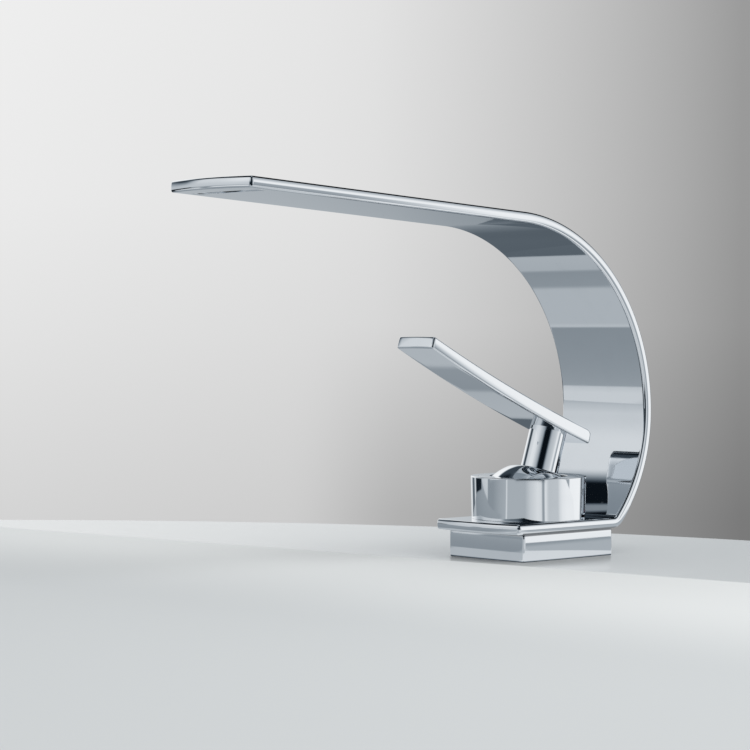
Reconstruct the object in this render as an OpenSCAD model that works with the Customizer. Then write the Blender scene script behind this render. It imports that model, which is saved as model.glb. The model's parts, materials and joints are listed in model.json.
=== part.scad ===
// Single-lever waterfall basin mixer: a hollow flat ribbon bent into a C, a round valve
// housing on its lower leg and a flat lever on a leaning stem.
// Millimetres. Origin: valve axis at deck level, +Z up, the spout reaches towards -Y.
// The handle is drawn half open, as it stands while water runs.

/* [Ribbon] */
// Width of the ribbon across the basin
ribbon_w = 50; // [46:0.5:60]
// Thickness of the hollow ribbon
ribbon_t = 4.5; // [4.2:0.1:6]
// Valve axis to the middle of the spout's front edge
spout_reach = 179.2; // [140:0.1:220]
// Rise of the spout towards its front edge, degrees
spout_rise = 3.4; // [0:0.1:8]
// Valve axis to the rearmost face of the bend
back_reach = 52.4; // [51:0.1:58]
// Height above the deck of the rearmost face
knee_h = 62.2; // [58:0.1:70]
// Outer radius of the upper bend
upper_r = 85; // [70:0.5:95]
// Outer radius of the lower bend
lower_r = 70; // [66:0.5:74]
// Outer radius where the ribbon turns in under the valve
heel_r = 8; // [6.5:0.1:10]
// Valve axis to the middle of the lower leg's front lip
lip_reach = 34.2; // [31:0.1:40]
// Bow of the two front edges, seen from above
end_bow = 3; // [1:0.1:6]
// Bevel along the ribbon's long edges
ribbon_bevel = 0.9; // [0.3:0.1:1.4]
// Outer skin over the water channel
skin_t = 1; // [0.8:0.1:1.2]
// Thickness of the cover strip that closes the channel
cover_t = 1.2; // [1:0.1:1.5]
// Side wall beside the cover strip
side_wall = 2; // [1.6:0.1:3]
// Width of the ledge that the cover strip lies on
ledge_w = 1.5; // [1:0.1:2.5]

/* [Outlet slot] */
// Strip of the cover left beside each end of the water outlet
slot_side = 3; // [1.5:0.1:6]
// Opening of the water outlet, front to back
slot_l = 3.5; // [2:0.1:5]
// Middle of the front edge to the middle of the outlet
slot_back = 11.8; // [9:0.1:16]

/* [Foot] */
// Width of the foot block
foot_w = 43.6; // [43:0.1:50]
// Depth of the foot block, front to back
foot_d = 54.7; // [54:0.1:60]
// Height of the foot block
foot_h = 11.8; // [11.4:0.1:14]
// Distance of the foot's middle behind the valve axis
foot_shift = 1.5; // [1:0.1:2.5]
// Bevel of the foot's upright edges
foot_bevel = 1; // [0.4:0.1:2]
// Thickness of the rubber deck seal
seal_t = 1.2; // [0.8:0.1:1.6]
// Width of the metal rim round the deck seal
seal_inset = 1; // [0.6:0.1:1.4]

/* [Housing] */
// Height of the housing above the ribbon
housing_h = 18.4; // [17.5:0.1:21]
// Wall of the housing beside the handle dome
housing_wall = 1.1; // [0.9:0.1:1.5]
// Gap round the dome at the housing's opening
rim_gap = 1.3; // [0.6:0.1:2]
// Depth of the trim ring let into the top of the housing
trim_h = 3; // [2.4:0.1:3.6]
// Width of the housing's own rim round the trim ring
rim_land = 3.4; // [2.6:0.1:4]
// Bevel round the top of the housing
housing_bevel = 0.7; // [0.3:0.1:1]

/* [Handle] */
// Lean of the stem as drawn, degrees back from upright
lean = 18.8; // [10:0.1:20]
// Wall of the handle dome
dome_t = 1.5; // [1.2:0.1:1.8]
// Height cut off the dome's ball for the flat under the stem
dome_cut = 3; // [2.4:0.1:3.6]
// Tilt axis to the lower edge of the dome
dome_skirt = 10.3; // [9.5:0.1:12]
// Diameter of the stem
stem_d = 16.4; // [14.5:0.1:19]
// Tilt axis to the underside of the lever, along the stem
stem_top = 38.5; // [36:0.1:50]
// Width of the flat lever
lever_w = 20; // [17:0.1:26]
// Stem axis to the lever's tip
lever_reach = 87.3; // [60:0.1:100]
// Stem axis to the lever's rear end
lever_back = 14.2; // [10:0.1:18]
// Thickness of the lever at its rear end
lever_root_t = 5.4; // [4.5:0.1:7]
// Thickness of the lever at its tip
lever_tip_t = 4.35; // [3.5:0.05:6]
// Slope of the lever at the stem, degrees
lever_rise = 2.6; // [0:0.1:6]
// Radius of the lever's upward curve
lever_curve_r = 810; // [600:5:2000]
// Radius of the lever's upper rear corner
lever_rear_r = 3.5; // [1:0.1:4.4]

/* [Cartridge] */
// Outer diameter of the ceramic cartridge
cartridge_d = 26; // [25:0.1:27]
// Brass wall round the cartridge
valve_wall = 3.3; // [3:0.1:3.6]
// Thickness of each ceramic disc
disc_t = 3; // [2.6:0.1:3.4]
// Tilt axis down to the centre of the spindle's ball
ball_drop = 7.4; // [7:0.1:7.8]
// Radius of the spindle's ball
ball_r = 2.2; // [1.9:0.1:2.4]
// Side of the square spindle
spindle_w = 6; // [5:0.1:6.5]
// Diameter of the tilt pin
pin_d = 3; // [2:0.1:3.4]

/* [Mounting] */
// Depth of the threaded inlets
inlet_depth = 9; // [8:0.1:11]
// Bore of the threaded inlets, an M10 x 1 thread at its minor diameter
inlet_d = 9; // [8:0.1:9.4]
// Distance between the inlets
inlet_pitch = 12.4; // [11.4:0.1:13.4]
// Thickness of the deck that the parts below it are drawn for
deck_t = 20; // [5:0.5:35]
// Diameter of the fixing stud, M8
stud_d = 8; // [6:0.1:8.4]
// Length of the fixing stud
stud_len = 53; // [40:1:90]
// Diameter of the two horseshoe washers
washer_d = 50; // [44:0.5:60]
// Thickness of the rubber horseshoe washer
rubber_t = 3; // [2:0.1:5]
// Thickness of the steel horseshoe washer
plate_t = 2; // [1.5:0.1:3]
// Height of the stud's nut
nut_h = 6.5; // [5:0.1:10]
// Nut size across its flats
nut_af = 13; // [12.5:0.1:16]

/* [Hidden] */
// One overrun serves all cuts
cut = 1;
// Slack of parts that are screwed or brazed together
joint_gap = 0.05;
// Play of parts that turn or slide inside the cartridge
play = 0.3;
// Film between the two lapped discs
film = 0.02;
// Play of the tilt pin in the spindle
pin_play = 0.06;
// Facets of large and small circles
big_fn = 180;
$fn = 96;

// Heights that follow from the stack on the deck
ribbon_top = foot_h + ribbon_t;
rim_h = ribbon_top + housing_h;

// Housing, as wide as the ribbon, and the ball that the dome is cut from
dome_play = 0.4;
housing_r = ribbon_w / 2;
dome_r = housing_r - housing_wall - dome_play;
dome_top = dome_r - dome_cut;
rim_share = 177 / 235;
pivot_drop = rim_share * dome_r;
pivot_h = rim_h - pivot_drop;
opening_r = sqrt(pow(dome_r, 2) - pow(pivot_drop, 2)) + rim_gap;
trim_r = housing_r - rim_land;
dome_plate = 1.8;
boss_r = 5;

// The ribbon's outer path: spout, upper bend, lower bend, heel and lower leg
upper_y = back_reach - upper_r;
lower_y = back_reach - lower_r;
heel_z = foot_h + heel_r;
heel_y = lower_y + sqrt(pow(lower_r - heel_r, 2) - pow(knee_h - heel_z, 2));
heel_turn = asin((knee_h - heel_z) / (lower_r - heel_r));
upper_turn = 90 - spout_rise;
spout_y = upper_y + upper_r * cos(upper_turn);
spout_z = knee_h + upper_r * sin(upper_turn);
heel_steps = 8;
lower_steps = 15;
upper_steps = 30;
bow_r = (pow(ribbon_w / 2, 2) + pow(end_bow, 2)) / (2 * end_bow);
spout_len = (spout_reach + spout_y) / cos(spout_rise);
slot_at = spout_len - slot_back;
slot_land = 2;
channel_len = slot_at + slot_l / 2 + slot_land;

// Cross-section of the channel
cover_w = ribbon_w - 2 * side_wall;
channel_w = cover_w - 2 * ledge_w;
cover_depth = ribbon_t - cover_t;
slot_w = cover_w - 2 * slot_side;

// Valve body
cartridge_r = cartridge_d / 2;
bore_fit = 0.2;
valve_bore_r = cartridge_r + bore_fit;
valve_r = valve_bore_r + valve_wall;
seat_drop = 21;
seat_z = pivot_h - seat_drop;
base_t = 3.7;
valve_floor = 3;
valve_bottom = seat_z - valve_floor - inlet_depth;
tower_share = 0.481;
tower_rise = tower_share * sqrt(pow(dome_r - dome_t, 2) - pow(valve_r, 2));
tower_top = pivot_h + tower_rise;
shoulder_rise = 1.2;
shoulder_z = pivot_h + shoulder_rise;
nut_wall = 1.6;
thread_r = valve_r - nut_wall;
chamber_wall = 1.9;
chamber_r = valve_r - chamber_wall;
chamber_low = 1;
chamber_lid = 2.4;
chamber_top = foot_h - chamber_lid;
port_h = 2.4;
port_w = 16;
port_z = chamber_top - port_h;
flange_w = 1.7;
flange_r = valve_r + flange_w;
flange_lift = 0.8;
flange_top = 4.6;
foot_fit = 0.3;
foot_bore_r = valve_r + foot_fit;
flange_fit = 0.2;

// O-rings on the valve body
ring_r = 0.7;
ring_groove = 1.5;
ring_low_z = flange_top + ring_groove / 2 + joint_gap;
ring_high_z = foot_h - ring_groove / 2 - joint_gap;
ring_sink = 1.3;

// Water port between foot and ribbon
duct_w = 20;
duct_l = 3.4;
duct_gap = 3.2;
duct_y = foot_bore_r + duct_gap;
channel_lead = 1.5;
channel_y = duct_y - channel_lead;
port_seal_w = 1.2;
port_seal_off = 0.8;
port_seal_t = 1;

// Screws that hold the ribbon to the foot
screw_x = 15.5;
screw_y = 19.5;
screw_r = 1.95;
screw_head_r = 3.4;
screw_head_t = 3.4;
screw_sink = 0.7;
screw_bite = 2.8;
screw_socket_r = 1.7;
screw_fit = 0.25;

// Clamp ring that holds foot, ribbon and valve body together
clamp_share = 0.4865;
clamp_w = clamp_share * (dome_r + dome_play - valve_r);
clamp_h = 2.5;
notch_w = 3;

// Cartridge stack, counted up from its seat
disc_z = seat_z + base_t;
moving_z = disc_z + disc_t + film;
carrier_z = moving_z + disc_t;
carrier_gap = 0.4;
flange_t = 3;
flange_play = 0.2;
shoulder_t = 2.8;
collar_top_z = shoulder_z - shoulder_t - flange_play;
collar_low_z = collar_top_z - flange_t;
carrier_t = collar_low_z - carrier_gap - carrier_z;
cup_wall = 1.2;
cup_r = cartridge_r - cup_wall;
collar_r = cup_r - play;
neck_r = 8.5;
neck_rise = 5.4;
fixed_disc_r = cup_r - play;
disc_r = 8.2;
port_x = inlet_pitch / 2;
port_y = 3.5;
disc_port_r = 2;
seat_port_r = 2.8;
outlet_y = 3.6;
outlet_r = 2.6;
pocket_y = 1.6;
pocket_r = 5.6;
pocket_depth = 1.8;
disc_shift = ball_drop * lean * PI / 180;
ball_slot_floor = 1;
ball_slot_lip = 1.4;
ball_slot_flare = 1.3;
spindle_top = 32;
spindle_foot = 2.6;
spindle_shank_r = 1.7;
collar_slot = 6.4;
pin_r = pin_d / 2;
pin_inset = 0.3;
base_window = 9;
base_window_y = 1;
base_floor = 1.4;
seal_r = 0.48;
seal_ring_r = 4.1;
limit_w = 1.9;
limit_t = 2;
limit_notch = 4;
cartridge_nut_w = 3.9;
cartridge_nut_h = tower_top - shoulder_z;

// Stem fittings
tenon_r = 5;
tenon_h = 2.2;
grub_r = 2.5;
grub_len = 3;
grub_lift = 6.5;
grub_rise = dome_top + grub_lift;
grub_socket_r = 1.2;
grub_socket_depth = 1.6;
plug_r = 3;
plug_t = 2;
plug_proud = 0.2;
lever_steps = 14;

// Fixing parts below the deck
stud_y = 8.8;
stud_top = valve_bottom + inlet_depth;
rubber_z = -deck_t - rubber_t;
plate_z = rubber_z - plate_t;
nut_z = plate_z - nut_h;
stud_bottom = stud_top - stud_len;
washer_slot_w = 26;
washer_slot_y = 3;
washer_fit = 0.3;

// Rectangle with bevelled corners, centred
module bevelled(w, l, c) {
    polygon([
        [w / 2 - c, -l / 2], [w / 2, -l / 2 + c], [w / 2, l / 2 - c], [w / 2 - c, l / 2],
        [-w / 2 + c, l / 2], [-w / 2, l / 2 - c], [-w / 2, -l / 2 + c], [-w / 2 + c, -l / 2]
    ]);
}

// Ring of rectangular section on the valve axis
module ring(inner, outer, z, h) {
    translate([0, 0, z])
        difference() {
            cylinder(r = outer, h = h);
            translate([0, 0, -cut]) cylinder(r = inner, h = h + 2 * cut);
        }
}

// O-ring on an upright axis
module o_ring(r, section, z) {
    translate([0, 0, z])
        rotate_extrude() translate([r, 0]) circle(r = section, $fn = 24);
}

// Places along the ribbon's outer face, each with its turn: 0 faces the rear, 90 faces up
function arc_places(y, z, r, from, to, steps, first) =
    [for (i = [first:steps])
        let (turn = from + (to - from) * i / steps)
        [y + r * cos(turn), z + r * sin(turn), turn]];

// From a place on the lower leg, round the heel and both bends, to a place on the spout
function ribbon_places(leg_y, spout_s) = concat(
    [[leg_y, foot_h, -90]],
    arc_places(heel_y, heel_z, heel_r, -90, -heel_turn, heel_steps, 0),
    arc_places(lower_y, knee_h, lower_r, -heel_turn, 0, lower_steps, 1),
    arc_places(upper_y, knee_h, upper_r, 0, upper_turn, upper_steps, 1),
    [[spout_y - spout_s * cos(spout_rise), spout_z + spout_s * sin(spout_rise), upper_turn]]
);

// The point at a depth below a place on the outer face
function below(place, depth) =
    [place[0] - depth * cos(place[2]), place[1] - depth * sin(place[2])];

// A band of the ribbon between two depths, as wide as w
module band(places, from_depth, to_depth, w) {
    last = len(places) - 1;
    side_extrude(w)
        polygon(concat(
            [for (i = [0:last]) below(places[i], from_depth)],
            [for (i = [last:-1:0]) below(places[i], to_depth)]
        ));
}

// The ribbon without its channel: a bevelled section carried along the places
module solid_ribbon(places) {
    half = ribbon_w / 2;
    section = [
        [0, ribbon_bevel - half], [0, half - ribbon_bevel],
        [ribbon_bevel, half], [ribbon_t - ribbon_bevel, half],
        [ribbon_t, half - ribbon_bevel], [ribbon_t, ribbon_bevel - half],
        [ribbon_t - ribbon_bevel, -half], [ribbon_bevel, -half]
    ];
    sides = len(section);
    last = len(places) - 1;
    points = [for (place = places) for (p = section)
        let (at = below(place, p[0])) [p[1], at[0], at[1]]];
    walls = [for (i = [0:last - 1]) for (j = [0:sides - 1])
        let (k = (j + 1) % sides)
        [i * sides + j, i * sides + k, (i + 1) * sides + k, (i + 1) * sides + j]];
    ends = [[for (j = [sides - 1:-1:0]) j], [for (j = [0:sides - 1]) last * sides + j]];
    polyhedron(points, concat(walls, ends));
}

// Frame at the end of the upper bend: -Y runs along the spout, Z leaves its top face
module spout_frame() {
    translate([0, spout_y, spout_z]) rotate([-spout_rise, 0, 0]) children();
}

// A side view turned upright and given a width
module side_extrude(w) {
    translate([-w / 2, 0, 0]) rotate([90, 0, 90]) linear_extrude(w) children();
}

// Upright space that takes in the ribbon and bows out by end_bow at the given reach
module bow_envelope(reach, low, high) {
    translate([0, bow_r - reach, low]) {
        cylinder(r = bow_r, h = high - low, $fn = big_fn * 2);
        translate([-bow_r, 0, 0]) cube([2 * bow_r, reach + back_reach, high - low]);
    }
}

module foot_block() {
    color([0.78, 0.80, 0.82])
        difference() {
            translate([0, foot_shift, 0])
                linear_extrude(foot_h) bevelled(foot_w, foot_d, foot_bevel);
            translate([0, 0, -cut]) cylinder(r = foot_bore_r, h = foot_h + 2 * cut);
            translate([0, 0, -cut])
                cylinder(r = flange_r + flange_fit, h = flange_top + cut);
            deck_seal_space();
            translate([0, 0, port_z])
                translate([-duct_w / 2, 0, 0])
                    cube([duct_w, duct_y + duct_l, port_h]);
            translate([-duct_w / 2, duct_y, port_z])
                cube([duct_w, duct_l, foot_h + cut - port_z]);
            port_seal_space();
            for (side = [-1, 1])
                translate([side * screw_x, -screw_y, 0]) {
                    translate([0, 0, -cut]) cylinder(r = screw_r + screw_fit, h = foot_h + 2 * cut);
                    translate([0, 0, -cut])
                        cylinder(r = screw_head_r + screw_fit, h = cut + screw_sink + screw_head_t);
                }
        }
}

// Recess for the deck seal in the underside of the foot
module deck_seal_space() {
    translate([0, foot_shift, -cut])
        linear_extrude(seal_t + cut)
            bevelled(foot_w - 2 * seal_inset, foot_d - 2 * seal_inset, foot_bevel);
}

module deck_seal() {
    color([0.12, 0.12, 0.12])
        difference() {
            translate([0, foot_shift, 0])
                linear_extrude(seal_t)
                    bevelled(
                        foot_w - 2 * seal_inset - 2 * joint_gap,
                        foot_d - 2 * seal_inset - 2 * joint_gap,
                        foot_bevel
                    );
            translate([0, 0, -cut]) cylinder(r = flange_r + flange_fit, h = seal_t + 2 * cut);
            for (side = [-1, 1])
                translate([side * screw_x, -screw_y, -cut])
                    cylinder(r = screw_head_r + screw_fit, h = seal_t + 2 * cut);
        }
}

// Groove in the foot's top face round the water duct
module port_seal_space() {
    translate([0, duct_y + duct_l / 2, foot_h - port_seal_t])
        difference() {
            linear_extrude(port_seal_t + cut) port_seal_outline(port_seal_off + port_seal_w);
            translate([0, 0, -cut])
                linear_extrude(port_seal_t + 3 * cut) port_seal_outline(port_seal_off);
        }
}

// Outline at a distance round the water duct
module port_seal_outline(off) {
    bevelled(duct_w + 2 * off, duct_l + 2 * off, port_seal_off);
}

module port_seal() {
    color([0.12, 0.12, 0.12])
        translate([0, duct_y + duct_l / 2, foot_h - port_seal_t])
            difference() {
                linear_extrude(port_seal_t)
                    port_seal_outline(port_seal_off + port_seal_w - joint_gap);
                translate([0, 0, -cut])
                    linear_extrude(port_seal_t + 2 * cut)
                        port_seal_outline(port_seal_off + joint_gap);
            }
}

module spout_shell() {
    color([0.80, 0.82, 0.84])
        difference() {
            intersection() {
                solid_ribbon(ribbon_places(-lip_reach - cut, spout_len + cut));
                union() {
                    bow_envelope(lip_reach, -cut, knee_h + cut);
                    bow_envelope(spout_reach, knee_h, rim_h + 2 * upper_r);
                }
            }
            band(ribbon_places(channel_y, channel_len), skin_t, cover_depth, channel_w);
            band(
                ribbon_places(channel_y, channel_len),
                cover_depth - joint_gap, ribbon_t + cut, cover_w
            );
            translate([0, 0, foot_h - cut])
                cylinder(r = foot_bore_r, h = ribbon_t + 2 * cut);
            translate([-duct_w / 2, duct_y, foot_h - cut])
                cube([duct_w, duct_l, cut + skin_t + joint_gap]);
            for (side = [-1, 1])
                translate([side * screw_x, -screw_y, foot_h - cut])
                    cylinder(r = screw_r + joint_gap, h = cut + screw_bite + joint_gap);
        }
}

module spout_cover() {
    color([0.74, 0.77, 0.80])
        difference() {
            band(
                ribbon_places(channel_y + joint_gap, channel_len - joint_gap),
                cover_depth, ribbon_t, cover_w - 2 * joint_gap
            );
            spout_frame()
                translate([-slot_w / 2, -slot_at - slot_l / 2, -ribbon_t - cut])
                    cube([slot_w, slot_l, ribbon_t + cut]);
        }
}

module spout_screws() {
    color([0.62, 0.63, 0.65])
        for (side = [-1, 1])
            translate([side * screw_x, -screw_y, screw_sink])
                difference() {
                    union() {
                        cylinder(r = screw_head_r, h = screw_head_t);
                        cylinder(r = screw_r, h = foot_h + screw_bite - screw_sink);
                    }
                    translate([0, 0, -cut])
                        cylinder(r = screw_socket_r, h = cut + screw_head_t / 2, $fn = 6);
                }
}

// Places of the two inlets
module at_inlets() {
    for (side = [-1, 1])
        translate([side * port_x, -port_y, 0]) children();
}

module valve_body() {
    color([0.80, 0.65, 0.36])
        difference() {
            union() {
                translate([0, 0, valve_bottom])
                    cylinder(r = valve_r, h = tower_top - valve_bottom);
                translate([0, 0, flange_lift])
                    cylinder(r = flange_r, h = flange_top - flange_lift);
            }
            translate([0, 0, seat_z]) cylinder(r = valve_bore_r, h = tower_top - seat_z + cut);
            translate([0, 0, seat_z + chamber_low])
                cylinder(r = chamber_r, h = chamber_top - seat_z - chamber_low);
            translate([0, 0, shoulder_z])
                cylinder(r = thread_r, h = tower_top - shoulder_z + 2 * cut);
            translate([-port_w / 2, 0, port_z]) cube([port_w, valve_r + cut, port_h]);
            for (z = [ring_low_z, ring_high_z])
                ring(valve_r - ring_sink + joint_gap, valve_r + cut, z - ring_groove / 2, ring_groove);
            at_inlets() {
                translate([0, 0, valve_bottom - cut])
                    cylinder(d = inlet_d, h = inlet_depth + cut);
                translate([0, 0, valve_bottom])
                    cylinder(r = seat_port_r, h = seat_z + cut - valve_bottom);
            }
            translate([0, stud_y, valve_bottom - cut])
                cylinder(d = stud_d, h = inlet_depth + cut);
        }
}

module valve_o_rings() {
    color([0.12, 0.12, 0.12])
        for (z = [ring_low_z, ring_high_z])
            o_ring(valve_r - ring_sink + ring_r + 2 * joint_gap, ring_r, z);
}

module clamp_ring() {
    color([0.80, 0.65, 0.36])
        difference() {
            ring(valve_r + joint_gap, valve_r + clamp_w, ribbon_top, clamp_h);
            for (turn = [0, 90])
                rotate([0, 0, turn])
                    translate([-valve_r - 2 * clamp_w, -notch_w / 2, ribbon_top + clamp_h / 2])
                        cube([2 * valve_r + 4 * clamp_w, notch_w, clamp_h]);
        }
}

module valve_housing() {
    color([0.80, 0.82, 0.84])
        difference() {
            translate([0, 0, ribbon_top])
                rotate_extrude()
                    polygon([
                        [0, 0], [housing_r, 0], [housing_r, housing_h - housing_bevel],
                        [housing_r - housing_bevel, housing_h], [0, housing_h]
                    ]);
            translate([0, 0, ribbon_top - cut])
                cylinder(r = dome_r + dome_play, h = pivot_h - ribbon_top + cut);
            translate([0, 0, pivot_h]) sphere(r = dome_r + dome_play, $fn = big_fn);
            translate([0, 0, rim_h - trim_h]) cylinder(r = trim_r, h = trim_h + cut);
        }
}

module trim_ring() {
    color([0.80, 0.82, 0.84])
        difference() {
            ring(opening_r, trim_r - joint_gap, rim_h - trim_h, trim_h);
            translate([0, 0, pivot_h]) sphere(r = dome_r + dome_play, $fn = big_fn);
        }
}

module cartridge_cup() {
    color([0.90, 0.90, 0.88])
        translate([0, 0, disc_z])
            difference() {
                cylinder(r = cartridge_r, h = shoulder_z - disc_z);
                translate([0, 0, -cut])
                    cylinder(r = cup_r, h = shoulder_z - shoulder_t - disc_z + cut);
                cylinder(r = neck_r + play, h = shoulder_z - disc_z + cut);
            }
}

module cartridge_base() {
    color([0.86, 0.86, 0.84])
        translate([0, 0, seat_z])
            difference() {
                cylinder(r = cartridge_r, h = base_t);
                at_inlets() {
                    translate([0, 0, -cut]) cylinder(r = seat_port_r, h = base_t + 2 * cut);
                    ring(
                        seal_ring_r - seal_r - joint_gap,
                        seal_ring_r + seal_r + joint_gap,
                        -cut,
                        cut + 2 * seal_r + joint_gap
                    );
                }
                translate([-base_window / 2, base_window_y, base_floor])
                    cube([base_window, cartridge_r + cut, base_t]);
            }
}

module base_seals() {
    color([0.12, 0.12, 0.12])
        at_inlets() o_ring(seal_ring_r, seal_r, seat_z + seal_r);
}

module fixed_disc() {
    color([0.94, 0.93, 0.90])
        translate([0, 0, disc_z])
            difference() {
                cylinder(r = fixed_disc_r, h = disc_t);
                at_inlets() translate([0, 0, -cut]) cylinder(r = disc_port_r, h = disc_t + 2 * cut);
                translate([0, outlet_y, -cut]) cylinder(r = outlet_r, h = disc_t + 2 * cut);
            }
}

module cartridge_nut() {
    color([0.80, 0.65, 0.36])
        difference() {
            ring(thread_r - cartridge_nut_w, thread_r - joint_gap, shoulder_z, cartridge_nut_h);
            for (turn = [45, 135])
                rotate([0, 0, turn])
                    translate([-valve_r, -notch_w / 2, tower_top - cartridge_nut_h / 2])
                        cube([2 * valve_r, notch_w, cartridge_nut_h]);
        }
}

module cartridge_collar() {
    color([0.90, 0.90, 0.88])
        difference() {
            union() {
                translate([0, 0, collar_low_z]) cylinder(r = collar_r, h = flange_t);
                translate([0, 0, collar_low_z])
                    cylinder(r = neck_r, h = pivot_h + neck_rise - collar_low_z);
            }
            translate([-spindle_w / 2 - play, -collar_slot, collar_low_z - cut])
                cube([spindle_w + 2 * play, 2 * collar_slot, neck_rise + pivot_h]);
            translate([-neck_r - cut, 0, pivot_h])
                rotate([0, 90, 0]) cylinder(r = pin_r + joint_gap, h = 2 * neck_r + 2 * cut);
        }
}

module limit_ring() {
    color([0.75, 0.16, 0.14])
        difference() {
            ring(neck_r + joint_gap, neck_r + limit_w, shoulder_z + play, limit_t);
            translate([-limit_notch / 2, neck_r + limit_w / 2, shoulder_z])
                cube([limit_notch, limit_w, limit_t + play + cut]);
        }
}

module tilt_pin() {
    color([0.70, 0.71, 0.73])
        translate([-neck_r + pin_inset, 0, pivot_h])
            rotate([0, 90, 0]) cylinder(r = pin_r, h = 2 * (neck_r - pin_inset));
}

module moving_disc() {
    color([0.94, 0.93, 0.90])
        translate([0, -disc_shift, moving_z])
            difference() {
                cylinder(r = disc_r, h = disc_t);
                translate([0, pocket_y, -cut]) cylinder(r = pocket_r, h = pocket_depth + cut);
            }
}

module disc_carrier() {
    slot = ball_r + play;
    color([0.32, 0.34, 0.36])
        translate([0, -disc_shift, carrier_z])
            difference() {
                cylinder(r = disc_r, h = carrier_t);
                translate([-slot, -slot, ball_slot_floor]) cube([2 * slot, 2 * slot, carrier_t]);
                translate([-slot, -slot - ball_slot_flare, carrier_t - ball_slot_lip])
                    cube([2 * slot, 2 * (slot + ball_slot_flare), ball_slot_lip + cut]);
            }
}

// Frame of the handle: its Z axis is the stem's axis and starts on the tilt axis
module handle_frame() {
    translate([0, 0, pivot_h]) rotate([-lean, 0, 0]) children();
}

module spindle() {
    color([0.66, 0.67, 0.69])
        handle_frame()
            difference() {
                union() {
                    translate([0, 0, -ball_drop]) sphere(r = ball_r);
                    translate([0, 0, -ball_drop]) cylinder(r = spindle_shank_r, h = ball_drop);
                    translate([-spindle_w / 2, -spindle_w / 2, -spindle_foot])
                        cube([spindle_w, spindle_w, spindle_foot + spindle_top]);
                }
                translate([-spindle_w, 0, 0])
                    rotate([0, 90, 0]) cylinder(r = pin_r + pin_play, h = 2 * spindle_w);
            }
}

module handle_dome() {
    color([0.80, 0.82, 0.84])
        handle_frame()
            difference() {
                intersection() {
                    sphere(r = dome_r, $fn = big_fn);
                    translate([0, 0, dome_skirt]) cylinder(r = dome_r, h = dome_top - dome_skirt);
                }
                intersection() {
                    sphere(r = dome_r - dome_t, $fn = big_fn);
                    cylinder(r = dome_r, h = dome_top - dome_plate);
                }
                cylinder(r = boss_r + joint_gap, h = dome_top + cut);
            }
}

// Height of the lever's underside above the tilt axis, at a distance u from the stem axis
function under_v(u) = stem_top + u * tan(lever_rise) + u * u / (2 * lever_curve_r);

// Thickness of the lever at a distance u from the stem axis
function lever_t(u) =
    lever_root_t + (lever_tip_t - lever_root_t) * (u + lever_back) / (lever_reach + lever_back);

// Distances from the stem axis at which the lever's curve is drawn
function lever_us(from, to) = [for (i = [0:lever_steps]) from + (to - from) * i / lever_steps];

// Side view of the lever, with its upper rear corner rounded
module lever_outline() {
    top_from = lever_rear_r - lever_back;
    rear_top = under_v(-lever_back) + lever_t(-lever_back);
    polygon(concat(
        [for (u = lever_us(-lever_back, lever_reach)) [-u, under_v(u)]],
        [for (i = [lever_steps:-1:0])
            let (u = lever_us(top_from, lever_reach)[i]) [-u, under_v(u) + lever_t(u)]],
        [for (turn = [75:-15:15])
            [lever_back + lever_rear_r * (cos(turn) - 1), rear_top + lever_rear_r * (sin(turn) - 1)]]
    ));
}

// Side view of everything below the lever's underside
module under_lever_outline() {
    polygon(concat(
        [for (u = lever_us(-lever_back, lever_reach)) [-u, under_v(u)]],
        [[-lever_reach, 0], [lever_back, 0]]
    ));
}

module handle_stem() {
    color([0.80, 0.82, 0.84])
        handle_frame()
            difference() {
                union() {
                    intersection() {
                        translate([0, 0, dome_top])
                            cylinder(d = stem_d, h = stem_top + lever_root_t - dome_top);
                        side_extrude(2 * stem_d) under_lever_outline();
                    }
                    translate([0, 0, dome_top - dome_plate])
                        cylinder(r = boss_r, h = dome_plate + cut);
                    translate([0, 0, stem_top - cut]) cylinder(r = tenon_r, h = cut + tenon_h);
                }
                spindle_bore();
                translate([0, 0, grub_rise])
                    rotate([-90, 0, 0]) cylinder(r = grub_r, h = stem_d);
                translate([0, stem_d / 2 - plug_t + plug_proud, grub_rise])
                    rotate([-90, 0, 0]) cylinder(r = plug_r, h = stem_d);
            }
}

// Square bore of the stem
module spindle_bore() {
    side = spindle_w + play;
    translate([-side / 2, -side / 2, 0]) cube([side, side, spindle_top + play]);
}

module lever_blade() {
    color([0.80, 0.82, 0.84])
        handle_frame()
            difference() {
                side_extrude(lever_w) lever_outline();
                translate([0, 0, stem_top - cut])
                    cylinder(r = tenon_r + joint_gap, h = cut + tenon_h + joint_gap);
            }
}

module grub_screw() {
    color([0.30, 0.31, 0.33])
        handle_frame()
            translate([0, spindle_w / 2 + joint_gap, grub_rise])
                rotate([-90, 0, 0])
                    difference() {
                        cylinder(r = grub_r - joint_gap, h = grub_len);
                        translate([0, 0, grub_len - grub_socket_depth])
                            cylinder(r = grub_socket_r, h = grub_socket_depth + cut, $fn = 6);
                    }
}

module screw_plug() {
    color([0.62, 0.64, 0.66])
        handle_frame()
            translate([0, stem_d / 2 - plug_t + plug_proud + joint_gap, grub_rise])
                rotate([-90, 0, 0]) cylinder(r = plug_r - joint_gap, h = plug_t);
}

module fixing_stud() {
    color([0.80, 0.65, 0.36])
        translate([0, stud_y, stud_bottom])
            cylinder(r = stud_d / 2 - joint_gap, h = stud_len - joint_gap);
}

// Plan of a horseshoe washer: the inlets and hoses pass through its open slot
module horseshoe() {
    difference() {
        circle(d = washer_d);
        translate([-washer_slot_w / 2, -washer_d])
            square([washer_slot_w, washer_d + washer_slot_y]);
        translate([0, stud_y]) circle(r = stud_d / 2 + washer_fit);
    }
}

module rubber_washer() {
    color([0.12, 0.12, 0.12])
        translate([0, 0, rubber_z]) linear_extrude(rubber_t) horseshoe();
}

module steel_washer() {
    color([0.66, 0.67, 0.69])
        translate([0, 0, plate_z]) linear_extrude(plate_t) horseshoe();
}

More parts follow.
